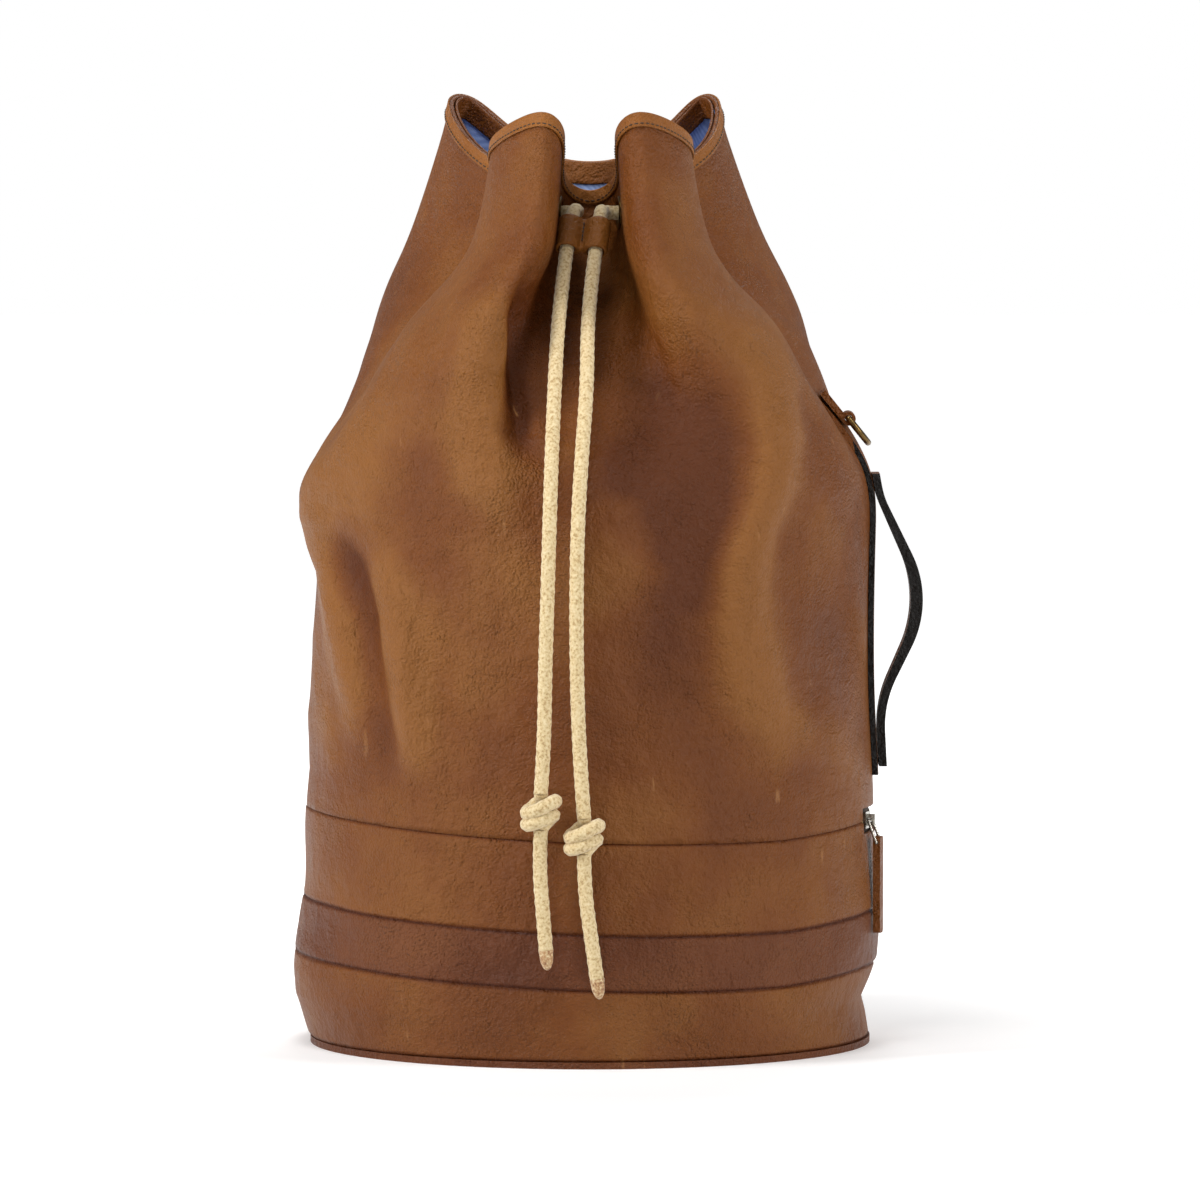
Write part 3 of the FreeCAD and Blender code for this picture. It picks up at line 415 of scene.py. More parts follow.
# %% [markdown]
# ## Folds and slack
# Leather never stays a perfect spline. Under the shoulders, long soft ridges run down from each
# gather, and the walls sag a little. Each fold is a ridge or hollow along a drawn line, with a
# rounded section, and it fades at both ends. A list of lines keeps every fold easy to find.

# %% Folds
# side of the bag (-1 front, 1 back), line as (x, z) points, height and half width at each point
FOLDS = [
    # the soft ridge on the right of the front, from the lobe to the zip
    (-1, [(92, 455), (104, 400), (108, 366), (104, 338),
          (90, 300), (86, 262), (98, 214), (130, 172)],
     [0, 5.9, 8.3, 10.8, 11.7, 10, 6.7, 0], [14, 13, 12, 12, 13, 15, 18, 20]),
    # the hollow beside it
    (-1, [(52, 440), (62, 392), (68, 352), (60, 312), (54, 270), (62, 220), (80, 180)],
     [0, -5.9, -8.3, -7.5, -5.9, -3.3, 0], [24, 24, 26, 26, 28, 30, 30]),
    # the creases either side of the dark hollow under the toggle
    (-1, [(-40, 470), (-43, 440), (-45, 405), (-42, 372), (-30, 350)],
     [0, -7.5, -8.3, -5.9, 0], [6, 6, 7, 8, 10]),
    (-1, [(-58, 455), (-62, 415), (-66, 372), (-58, 338), (-44, 318)],
     [0, 6.7, 7.5, 5.9, 0], [13, 14, 15, 15, 14]),
    (-1, [(26, 420), (32, 380), (22, 344), (8, 330)], [0, -3.5, -3.5, 0], [16, 18, 18, 16]),
    # the belly between the two hollows
    (-1, [(-66, 330), (-60, 285), (-52, 240), (-50, 190)], [0, 3.5, 3.5, 0], [34, 38, 40, 40]),
    (-1, [(14, 322), (20, 290), (22, 250)], [0, 3.0, 0], [26, 30, 34]),
    # the long pleats on the left, below the pinch
    (-1, [(-166, 330), (-160, 300), (-148, 262), (-141, 222), (-136, 180)],
     [0, 6.7, 7.5, 5.9, 0], [9, 9, 9, 9, 9]),
    (-1, [(-156, 320), (-146, 296), (-132, 262), (-124, 222), (-120, 186), (-118, 160)],
     [0, -5.9, -7.5, -6.7, -4.1, 0], [9, 9, 10, 9, 8, 8]),
    (-1, [(-122, 316), (-118, 282), (-110, 240), (-104, 200), (-104, 160)],
     [0, 6.7, 9.2, 7.5, 0], [13, 13, 12, 11, 11]),
    (-1, [(-160, 230), (-156, 190), (-158, 152)], [0, 2.0, 0], [6, 6, 6]),
    # quieter folds at the back
    (1, [(96, 440), (104, 380), (100, 330), (88, 270), (92, 200)],
     [0, 4.0, 5.0, 4.0, 0], [16, 16, 15, 16, 18]),
    (1, [(-90, 440), (-100, 386), (-104, 340), (-90, 280), (-86, 210)],
     [0, 4.5, 5.0, 4.0, 0], [15, 15, 14, 16, 18]),
    (1, [(0, 430), (10, 370), (4, 320), (-8, 260)], [0, -4.0, -4.0, 0], [24, 26, 28, 30]),
    (1, [(48, 390), (52, 330), (44, 270)], [0, 3.0, 0], [18, 20, 22]),
    (1, [(-46, 390), (-50, 330), (-40, 270)], [0, 3.0, 0], [18, 20, 22]),
]


# contours where a front lobe overlaps the wall beside it: line as (x, z), the side that stands
# proud (1 right of the line, -1 left), how far it steps, and how wide the step's round is
CONTOURS = [
    ([(-52, 545), (-90, 488), (-113, 430), (-136, 388), (-160, 350), (-176, 322)], 1,
     [0, 1.0, 4.0, 5.5, 5.0, 0], 4.0, 26.0),
    ([(61, 542), (84, 495), (98, 470), (119, 430), (141, 388), (160, 350)], -1,
     [0, 1.0, 3.0, 4.0, 3.0, 0], 4.0, 24.0),
    ([(-37, 482), (-40, 456), (-45, 425), (-47, 392), (-40, 360)], -1,
     [0, 4.0, 5.0, 4.0, 0], 4.0, 20.0),
    ([(24, 470), (34, 440), (48, 400), (52, 366)], 1, [0, 3.5, 3.5, 0], 7.0, 22.0),
]


def contour_relief(points):
    """Steps along lines: height times tanh of the distance over the round, fading with distance."""
    x, y, z = np.moveaxis(points, -1, 0)
    relief = np.zeros_like(x)
    for line, proud, steps, round_width, reach in CONTOURS:
        line = np.array(line, float)[::-1]
        step = np.interp(z, line[:, 1], steps[::-1], left=0, right=0)
        across = proud * (x - np.interp(z, line[:, 1], line[:, 0]))
        facing = 1 / (1 + np.exp(y / 12))
        relief += step * np.tanh(across / round_width) * np.exp(-np.abs(across) / reach) * facing
    return relief


def fold_relief(points):
    """The height of all folds at each point: a sum of bumps shaped like a bell across the line."""
    x, y, z = np.moveaxis(points, -1, 0)
    relief = np.zeros_like(x)
    for side, line, heights, widths in FOLDS:
        line = np.array(line, float)[::-1]
        middle = np.interp(z, line[:, 1], line[:, 0])
        height = np.interp(z, line[:, 1], heights[::-1], left=0, right=0)
        width = np.interp(z, line[:, 1], widths[::-1])
        across = np.sqrt(((x - middle) / width) ** 2 + 0.05) - 0.22
        facing = 1 / (1 + np.exp(-side * y / 12))
        relief += height * np.exp(-across ** 2) * facing
    return relief


def slack_relief(points):
    """Gentle waves about 90 mm long, as thick leather shows when nothing pulls on it."""
    x, y, z = np.moveaxis(points, -1, 0)
    turn = np.arctan2(y, x)
    waves = (np.sin(5 * turn + z / 31) + 0.7 * np.sin(9 * turn - z / 23 + 1.3)
             + 0.5 * np.sin(14 * turn + z / 17 + 4.0))
    ripple = np.sin(23 * turn + z / 9 + 2 * np.sin(z / 26)) * np.sin(11 * turn - z / 13)
    fade = np.clip((z - 150) / 60, 0, 1) * np.clip((470 - z) / 80, 0, 1)
    return (0.8 * waves + 0.3 * ripple) * fade


def near_strip(points):
    """1 where the side strip and the handle lie flat on the leather, fading to 0 beside them."""
    x, y, z = np.moveaxis(points, -1, 0)
    return np.clip((34 - np.abs(y)) / 14, 0, 1) * (x > 0) * np.clip((430 - z) / 20, 0, 1)


# left silhouette: height and how far the wall stands out beyond the even body there
LEFT_HEIGHTS = [136, 160, 196, 244, 285, 300, 316, 330, 352, 376, 400, 450]
LEFT_OUT = [0, -1.5, 1.0, 0.0, -5.0, -1.0, 5.0, 6.0, 3.0, 1.0, 0, 0]


def side_relief(points):
    """The pinch on the left, where the fold between two lobes meets the body."""
    x, y, z = np.moveaxis(points, -1, 0)
    left = np.clip(-x / np.hypot(x, y), 0, 1) ** 6
    return np.interp(z, LEFT_HEIGHTS, LEFT_OUT) * left


# %% [markdown]
# ## Eyelets sit flat
# An eyelet clamps the leather between its flange and a washer, so the leather is flat there. Near
# each eyelet the surface is pressed onto the eyelet's plane, and it eases back further out.

# %% Eyelet places and the flat seats
EYELET_POINTS = np.array([
    (-17.53, -52.13, 499.09), (-48.33, -26.25, 499.16), (-53.43, 13.05, 499.48),
    (-27.05, 47.89, 499.21), (26.73, 48.07, 499.29), (53.43, 13.05, 499.48),
    (48.33, -26.24, 499.15), (17.53, -52.13, 499.09)])
EYELET_AXES = np.array([
    (0.9927, -0.1210, 0), (-0.7844, 0.6203, 0), (-0.5884, -0.8086, 0), (0.7938, 0.6082, 0),
    (-0.8106, 0.5855, 0), (0.5890, -0.8081, 0), (0.7837, 0.6212, 0), (-0.9927, -0.1210, 0)])


def seated(points, depth=0.0):
    """Moves points near an eyelet onto its plane, a depth inwards from the flange."""
    points = points.copy()
    for centre, axis in zip(EYELET_POINTS, EYELET_AXES):
        offset = points - centre
        along = offset @ axis
        across = np.linalg.norm(offset - along[..., None] * axis, axis=-1)
        hold = np.clip((18 - across) / 7, 0, 1)
        hold = hold * hold * (3 - 2 * hold) * (np.abs(along) < 9)
        points -= ((along + depth) * hold)[..., None] * axis
    return points


# %% Band seams and the foot of the panel
def seam_tilt(x, y):
    """How far a seam runs above its plan height: the bag leans, so its left side stands higher."""
    across = x / 170.0
    tilt = -3.0 - 5.5 * across + 4.5 * across ** 2
    angle = np.degrees(np.arctan2(y, x))
    zip_near = np.clip(1 - np.maximum(-17 - angle, 0) / 30, 0, 1) * (np.abs(angle) < 163)
    back = np.clip((angle - 120) / 42, 0, 1)
    return tilt * (1 - np.maximum(zip_near * (angle > -47), back * (angle > 0)))


def panel_face(levels, columns, offset=0.0, depth=0.0):
    """The finished panel, moved along its normals by an offset, with folds, seats and foot."""
    grid = panel_points(levels, columns)
    normals = outward_normals(grid)
    relief = ((fold_relief(grid) + contour_relief(grid) + slack_relief(grid))
              * (1 - near_strip(grid)) + side_relief(grid))
    grid = grid + normals * relief[..., None]
    normals = outward_normals(grid)
    grid = grid + normals * offset
    grid = seated(grid, depth)
    low = np.clip((225 - grid[..., 2]) / 89, 0, 1)
    grid[..., 2] += seam_tilt(grid[..., 0], grid[..., 1]) * low ** 2 * (3 - 2 * low)
    return grid, relief


PANEL_COLUMNS = 400
sample, _ = panel_face(np.linspace(0, TOP, 600), 40)
print("panel from", sample[0, :, 2].min().round(1), "to", sample[..., 2].max().round(1), "mm")


def level_below_rim(drop):
    """The level whose line at the front valley runs a distance below the rim."""
    levels = np.linspace(TOP - 3, TOP, 400)
    valley = panel_points(levels, 36)[:, 0]
    below = np.linalg.norm(valley - valley[-1], axis=1)
    return np.interp(-drop, -below, levels)


# %% Build the panel, the lining, the facing and the binding
LEATHER, LINING, BINDING, GAP = 2.4, 0.8, 1.3, 0.2


def even_levels(low, high, count):
    """Levels from low to high whose rows lie evenly far apart on the leather."""
    dense = np.linspace(low, high, 800)
    rows = panel_points(dense, 72)
    run = np.concatenate([[0], np.cumsum(np.linalg.norm(np.diff(rows, axis=0), axis=2).max(1))])
    return np.interp(np.linspace(0, run[-1], count), run, dense)


def wall_piece(name, low, high, outer, inner, rows, inner_rows, depths=(0, 0), rim=0.0):
    """A closed wall between two offsets of the panel: up the outer face and down the inner one."""
    outside, relief = panel_face(even_levels(low, high, rows), PANEL_COLUMNS, outer, depths[0])
    inside, inner_relief = panel_face(even_levels(low, high, inner_rows), PANEL_COLUMNS,
                                      inner, depths[1])
    if rim:
        crest = 0.5 * (outside[-1:] + inside[-1:])
        crest[..., 2] += rim
        grid = np.concatenate([outside, crest, inside[::-1]])
        values = np.concatenate([relief, relief[-1:], inner_relief[::-1]])
    else:
        grid = np.concatenate([outside, inside[::-1]])
        values = np.concatenate([relief, inner_relief[::-1]])
    # the relief is kept on the points as the fold attribute, which the leather finish turns into
    # painted shade in the hollows and painted light on the ridges
    return grid_piece(name, grid, True, True, values={"fold": values / 8})


panel = wall_piece("gathered_panel", 0, TOP, 0.0, -LEATHER, 150, 50, (0, LEATHER))
LINING_LOW, LINING_HIGH = 0.3634, level_below_rim(6.5)
LINING_FACE = -LEATHER - GAP
lining = wall_piece("cotton_lining", LINING_LOW, LINING_HIGH, LINING_FACE, LINING_FACE - LINING,
                    110, 110, (-LINING_FACE, -LINING_FACE + LINING))
FACING_FACE = LINING_FACE - LINING - GAP
facing = wall_piece("mouth_facing_band", level_below_rim(13), TOP, FACING_FACE,
                    FACING_FACE - BINDING, 10, 10)
binding = wall_piece("mouth_binding_band", level_below_rim(8), TOP, GAP + BINDING, GAP,
                     12, 5, rim=0.5)


# %% [markdown]
# ## Holes
# The zip opens a long window between the panel and the band below it, and each eyelet needs its
# hole. Both are cut with plain solids by a Boolean modifier, which is then applied.

# %% Cut the zip window and the eyelet holes
def applied(piece):
    """Makes the modifiers' result the piece's own mesh."""
    graph = bpy.context.evaluated_depsgraph_get()
    mesh = bpy.data.meshes.new_from_object(piece.evaluated_get(graph), depsgraph=graph)
    piece.modifiers.clear()
    piece.data = mesh
    return piece


def ring_section(inner, outer, low, high, start, end, count):
    """Four rails of a ring that runs part of the way round Z, as a grid closed at both ends."""
    angle = np.radians(np.linspace(start, end, count))
    corners = [(inner, low), (outer, low), (outer, high), (inner, high)]
    rails = [np.stack([r * np.cos(angle), r * np.sin(angle), np.full(count, z)], 1)
             for r, z in corners]
    grid = np.stack(rails, 1)
    first, last = grid[:1].mean(1, keepdims=True), grid[-1:].mean(1, keepdims=True)
    return np.concatenate([np.repeat(first, 4, 1), grid, np.repeat(last, 4, 1)])


def bar_section(centre, axis, radius, low, high, sides=32):
    """A round bar on an axis, closed at both ends."""
    axis = unit(np.array(axis, float))
    side = unit(np.cross(axis, (0.0, 0.0, 1.0) if abs(axis[2]) < 0.9 else (1.0, 0.0, 0.0)))
    up = np.cross(axis, side)
    turn = np.linspace(0, 2 * np.pi, sides, endpoint=False)
    ring = np.cos(turn)[:, None] * side + np.sin(turn)[:, None] * up
    profile = [(0.0, low), (radius, low), (radius, high), (0.0, high)]
    return np.stack([centre + axis * z + ring * r for r, z in profile])


def merged(piece, distance=1e-5):
    """Joins points that lie on each other, such as a pole's, and turns the faces outwards."""
    import bmesh
    work = bmesh.new()
    work.from_mesh(piece.data)
    bmesh.ops.remove_doubles(work, verts=work.verts, dist=distance)
    bmesh.ops.recalc_face_normals(work, faces=work.faces)
    work.to_mesh(piece.data)
    work.free()
    return piece


def cut_by(piece, tool):
    modifier = piece.modifiers.new("hole", "BOOLEAN")
    modifier.operation, modifier.solver, modifier.object = "DIFFERENCE", "MANIFOLD", tool
    return applied(piece)


ZIP_START, ZIP_SWEEP, WINDOW = -17.0, 179.0, 7.5
window_tool = merged(grid_piece("window_tool", ring_section(
    160.0, 182.0, SEAM - WINDOW, SEAM + WINDOW, ZIP_START, ZIP_START + ZIP_SWEEP, 180),
    False, True))
hole_tool = merged(joined("hole_tool", [
    bar_section(c, a, 6.9, -12.0, 8.0) for c, a in zip(EYELET_POINTS, EYELET_AXES)], False, True))
for piece, tools in ((panel, (window_tool, hole_tool)), (lining, (hole_tool,))):
    before = len(piece.data.polygons)
    for tool in tools:
        cut_by(piece, tool)
    print(piece.name, before, "faces before the cuts,", len(piece.data.polygons), "after")


# %% [markdown]
# ## Bands at the bottom
# Three bands of leather make the lower compartment. They slump under the load: the left side
# bulges low down and the right side is dented above the floor. Each band is a wall whose radius
# and seam heights are functions of the angle, and its edges are turned in where they are sewn.

# %% Bands
BAND_HEIGHTS = [4, 16, 28, 40, 52, 64, 88, 110, 124, 150]
LEFT_RADII = [169, 173.5, 178, 178.8, 177, 174.8, 172, 171.5, 171.5, 170.5]
FRONT_RADII = [168.4, 170, 171.5, 172.6, 173.2, 173.6, 173.8, 172.6, 171.5, 170.5]
RIGHT_RADII = [168.0, 165.5, 163.0, 168, 172.5, 174.0, 173.6, 172.0, 171.2, 170.5]


def band_radius(angle, height):
    """The wall's radius: the front's, blended to the left's and the right's by the angle."""
    left = np.clip(-np.cos(angle), 0, 1) ** 2
    right = np.clip(np.cos(angle), 0, 1) ** 4
    front = np.interp(height, BAND_HEIGHTS, FRONT_RADII)
    wave = 0.5 * np.sin(7 * angle + height / 14) + 0.35 * np.sin(12 * angle - height / 9 + 2)
    wave = wave * np.clip((124 - height) / 20, 0, 1) * np.clip((height - 8) / 10, 0, 1)
    return (front + left * (np.interp(height, BAND_HEIGHTS, LEFT_RADII) - front)
            + right * (np.interp(height, BAND_HEIGHTS, RIGHT_RADII) - front) + wave)


BAND_TURN_IN, BAND_TURN_WIDTH = 1.3, 1.1


def band_piece(name, low, high, tilt_low, tilt_high, rows=26, columns=420):
    """A band between two seam heights, each with its share of the tilt, and turned-in edges."""
    angle = np.linspace(-np.pi, np.pi, columns, endpoint=False)[None, :]
    tilt = seam_tilt(170 * np.cos(angle), 170 * np.sin(angle))
    edge = 0.5 - 0.5 * np.cos(np.linspace(0, np.pi, rows))[:, None]
    z = low + tilt_low * tilt + edge * (high - low + (tilt_high - tilt_low) * tilt)
    height = low + edge * (high - low)
    radius = band_radius(angle, height + 0 * angle)
    from_edge = np.minimum(edge, 1 - edge) * (high - low)
    turned_in = BAND_TURN_IN * np.exp(-(from_edge / BAND_TURN_WIDTH) ** 2)
    outer = radius - turned_in
    grids = []
    for r in (outer, radius - LEATHER):
        grids.append(np.stack([r * np.cos(angle), r * np.sin(angle), z + 0 * r], 2))
    # the outer face is coloured darker where its edges turn in at the seams: painted shade in the
    # seam grooves; the inner face gets none
    seam_painted_shade = np.clip(-(turned_in / BAND_TURN_IN), -1, 0)
    grid = np.concatenate([grids[0], grids[1][::-1]])
    values = np.concatenate([seam_painted_shade + 0 * outer, 0 * outer])
    return grid_piece(name, grid, True, True, values={"fold": values})


compartment = band_piece("compartment_band_leather", 82.0, SEAM, 1.0, 1.0, 34)
middle = band_piece("middle_band_leather", 49.0, 82.0, 1.0, 1.0, 24)
base = band_piece("base_band_leather", 4.3, 49.0, 0.0, 1.0, 30)
cut_by(compartment, window_tool)
for tool in (window_tool, hole_tool):
    bpy.data.objects.remove(tool)


# %% [markdown]
# ## Cord toggle
# A strip of leather is wrapped round both runs of the cord and sewn down the middle, which makes
# two channels side by side. Its outline is the outer edge of two circles joined by a web, smoothed
# where the leather dips to the stitches.

# %% Toggle
TOGGLE_CENTRE = np.array([-4.1, -82.0, 486.0])
TOGGLE_AXIS = unit(np.array([-0.09986, -0.61913, -0.77891]))
TOGGLE_ACROSS = np.array([0.995, -0.06214, -0.07817])
TOGGLE_UP = np.cross(TOGGLE_AXIS, TOGGLE_ACROSS)
CHANNEL, CHANNEL_OUTER, CHANNEL_BORE, WEB, TOGGLE_LENGTH = 8.5, 7.2, 5.1, 2.2, 22.0


def toggle_outline(count=120, inset=0.0):
    """Two circles and a web as a distance from the middle for each direction, then smoothed."""
    turn = np.linspace(0, 2 * np.pi, count, endpoint=False)
    outer = CHANNEL_OUTER - inset
    sine, cosine = np.abs(np.sin(turn)), np.abs(np.cos(turn))
    inside = outer ** 2 - (CHANNEL * sine) ** 2
    circle = np.where(inside > 0, CHANNEL * cosine + np.sqrt(np.maximum(inside, 0)), 0)
    web = (WEB - inset) / np.maximum(sine, 0.1)
    reach = np.maximum(circle, np.minimum(web, 12))
    window = np.exp(-(np.arange(-6, 7) / 2.6) ** 2)
    padded = np.concatenate([reach[-6:], reach, reach[:6]])
    reach = np.convolve(padded, window / window.sum(), mode="valid")
    return np.stack([reach * np.cos(turn), reach * np.sin(turn)], 1)


def on_toggle(flat, along):
    """Points of the toggle from flat outline points and distances along its axis."""
    flat, along = np.asarray(flat), np.asarray(along)
    return (TOGGLE_CENTRE + flat[..., :1] * TOGGLE_ACROSS + flat[..., 1:2] * TOGGLE_UP
            + along[..., None] * TOGGLE_AXIS)


half = TOGGLE_LENGTH / 2
sections = []
for inset, along in [(0.6, -half), (0.15, -half + 0.5), (0, -half + 1.4), (0, -4), (0, 4),
                     (0, half - 1.4), (0.15, half - 0.5), (0.6, half)]:
    outline = toggle_outline(inset=inset)
    sections.append(on_toggle(outline, np.full(len(outline), along)))
ends_closed = [on_toggle(np.zeros((120, 2)), np.full(120, a)) for a in (-half, half)]
toggle = merged(grid_piece("leather_toggle", np.stack([ends_closed[0], *sections, ends_closed[1]]),
                           False, True))
bores = [bar_section(TOGGLE_CENTRE + TOGGLE_ACROSS * s * CHANNEL, TOGGLE_AXIS,
                     CHANNEL_BORE, -20.0, 20.0, 40)
         for s in (-1, 1)]
bore_tool = merged(joined("bore_tool", bores, False, True))
cut_by(toggle, bore_tool)
bpy.data.objects.remove(bore_tool)


# %% [markdown]
# ## Stitches
# A stitch is a short thread that dips into the leather at both ends. One small capsule with a few
# faces is enough, repeated at an even step along a line that lies on the surface.

# %% Stitches
def stitch_grids(points, normals, length=2.6, radius=0.33, sides=6):
    """One capsule per pair of neighbouring stops along a line, raised on the leather."""
    start, end = points[:-1], points[1:]
    forward = unit(end - start)
    middle = 0.5 * (start + end)
    normal = unit(0.5 * (normals[:-1] + normals[1:]))
    side = unit(np.cross(forward, normal))
    normal = np.cross(side, forward)
    along = np.array([-0.5, -0.42, -0.2, 0.2, 0.42, 0.5]) * length
    thick = np.array([0.15, 0.8, 1.0, 1.0, 0.8, 0.15]) * radius
    lift = np.array([-0.5, 0.0, 0.5, 0.5, 0.0, -0.5]) * radius
    turn = np.linspace(0, 2 * np.pi, sides, endpoint=False)
    centre = (middle[:, None] + along[None, :, None] * forward[:, None]
              + lift[None, :, None] * normal[:, None])
    ring = (np.cos(turn)[None, None, :, None] * side[:, None, None]
            + np.sin(turn)[None, None, :, None] * normal[:, None, None])
    return centre[:, :, None] + thick[None, :, None, None] * ring


def resampled(line, normals, step):
    """Stops at an even step along a line, with the normals carried along."""
    run = np.concatenate([[0], np.cumsum(np.linalg.norm(np.diff(line, axis=0), axis=1))])
    stops = np.linspace(0, run[-1], max(int(round(run[-1] / step)), 2) + 1)
    pick = lambda values: np.stack([np.interp(stops, run, values[:, k]) for k in range(3)], 1)
    return pick(line), unit(pick(normals))


def stitched_line(name, line, normals, step=3.6, length=2.6, radius=0.33):
    stops, directions = resampled(line, normals, step)
    capsules = stitch_grids(stops, directions, length, radius)
    return joined(name, list(capsules), False, True)


rim_rows, _ = panel_face(
    np.array([level_below_rim(6.3), level_below_rim(6.2), level_below_rim(6.1)]),
                         720, GAP + BINDING + 0.1)
rim_normals = outward_normals(rim_rows)[1]
closed = lambda values: np.concatenate([values, values[:1]])
binding_stitches = stitched_line("binding_stitches", closed(rim_rows[1]), closed(rim_normals))
toggle_line = on_toggle(np.array([[0.0, 3.1]] * 12), np.linspace(-8, 8, 12))
toggle_under = on_toggle(np.array([[0.0, -3.1]] * 12), np.linspace(-8, 8, 12))
toggle_stitches = joined("toggle_stitches", [
    *stitch_grids(toggle_line[::2], np.repeat(TOGGLE_UP[None], 6, 0), 2.4, 0.4),
    *stitch_grids(toggle_under[::2], np.repeat(-TOGGLE_UP[None], 6, 0), 2.4, 0.4)], False, True)

# %% [markdown]
# ## Eyelets
# A brass eyelet is rolled over from a tube, so its flange is a rounded ring, not a flat washer.
# Its section is a small loop, turned about the eyelet's axis.

# %% Eyelets
EYELET_SECTION = [
    (6.1, -4.7), (6.6, -5.0), (6.75, -4.6), (6.8, -2.0), (6.8, 0.05), (8.2, 0.05),
    (9.6, 0.05), (10.0, 0.35),
    (9.8, 0.85), (9.1, 1.25), (8.2, 1.4), (7.3, 1.25), (6.5, 0.8), (6.1, 0.1),
    (6.0, -1.5), (6.0, -3.5),
]


def turned_grid(centre, axis, section, columns=64):
    """A closed section turned about an axis."""
    axis = unit(np.array(axis, float))
    side = unit(np.cross(axis, (0.0, 0.0, 1.0)))
    up = np.cross(axis, side)
    turn = np.linspace(0, 2 * np.pi, columns, endpoint=False)
    ring = np.cos(turn)[:, None] * side + np.sin(turn)[:, None] * up
    return np.stack([centre + axis * z + ring * r for r, z in section])


eyelets = []
for number, (centre, axis) in enumerate(zip(EYELET_POINTS, EYELET_AXES), start=1):
    eyelet = grid_piece(f"rolled_eyelet_{number}",
                        turned_grid(centre, axis, EYELET_SECTION), True, True)
    eyelets.append(eyelet)

# %% [markdown]
# ## Zip
# A metal zip has one tooth every few millimetres on each tape, and the two rows mesh. Each tooth
# here is a small block with a narrower nose, turned to its place on the ring.

# %% Teeth
TOOTH = np.array([  # sections from root to nose: height, half width, inner and outer radius
    (2.6, 0.75, 166.3, 168.1), (1.4, 0.8, 165.9, 168.5),
    (0.2, 0.7, 165.9, 168.5), (-0.5, 0.45, 166.3, 168.1)])


def tooth_grids(sign, phase, pitch=2.5):
    """All teeth of one row as grids of four corners by four sections."""
    radius = 167.2
    sweep = ZIP_SWEEP - 3.2
    count = int(math.radians(sweep) * radius / pitch)
    angles = np.radians(ZIP_START + 1.6) + (np.arange(count) + phase) * pitch / radius
    height, half_width, inner, outer = TOOTH.T
    r = np.stack([inner, outer, outer, inner], 1)
    t = np.stack([-half_width, -half_width, half_width, half_width], 1)
    z = SEAM + sign * (0.6 + height)[:, None] + 0 * r
    r = np.concatenate([r[:1] * 0 + r[:1].mean(), r, r[-1:] * 0 + r[-1:].mean()])
    t = np.concatenate([t[:1] * 0, t, t[-1:] * 0])
    z = np.concatenate([z[:1], z, z[-1:]])
    c, s = np.cos(angles)[:, None, None], np.sin(angles)[:, None, None]
    return np.stack([r * c - t * s, r * s + t * c, z + 0 * c], 3)


teeth = {}
for name, sign, phase in (("upper", 1, 0.0), ("lower", -1, 0.5)):
    grids = tooth_grids(sign, phase)
    teeth[name] = joined(f"zip_teeth_{name}_row", list(grids), False, True)
    print(name, "row:", len(grids), "teeth")


# %% [markdown]
# ## Finishes
# Each finish starts from what the real material is. Colours are written as hex, as on a colour
# card, and one function turns them to the linear values that light is computed with. Another small
# function adds a node with its settings and links.

# %% Colour and node helpers
def linear(code):
    """An sRGB hex colour as linear red, green, blue and full alpha."""
    channels = np.array([int(code[k:k + 2], 16) for k in (1, 3, 5)]) / 255
    values = np.where(channels <= 0.04045, channels / 12.92, ((channels + 0.055) / 1.055) ** 2.4)
    return (*values, 1.0)


def add(tree, kind, settings=None, **links):
    """A node with its settings; each link is a value or another node's output socket."""
    made = tree.nodes.new(kind)
    for key, value in (settings or {}).items():
        setattr(made, key, value)
    for key, value in links.items():
        socket = (made.inputs[int(key[2:])] if key.startswith("in")
                  else made.inputs[key.replace("_", " ")])
        if isinstance(value, bpy.types.NodeSocket):
            tree.links.new(value, socket)
        else:
            socket.default_value = value
    return made


def finish_named(name):
    """An empty finish: its node tree and its surface shader."""
    material = bpy.data.materials.new(name)
    material.use_nodes = True
    tree = material.node_tree
    return material, tree, tree.nodes["Principled BSDF"]


def dressed(piece, *materials):
    """Gives a piece its finish in place of any that it has."""
    piece.data.materials.clear()
    for material in materials:
        piece.data.materials.append(material)
    return piece


def ramp(tree, value, stops):
    """A colour ramp between hex colours at given positions."""
    made = add(tree, "ShaderNodeValToRGB", Fac=value)
    band = made.color_ramp
    while len(band.elements) < len(stops):
        band.elements.new(0.5)
    for element, (position, code) in zip(band.elements, stops):
        element.position, element.color = position, linear(code)
    return made.outputs["Color"]
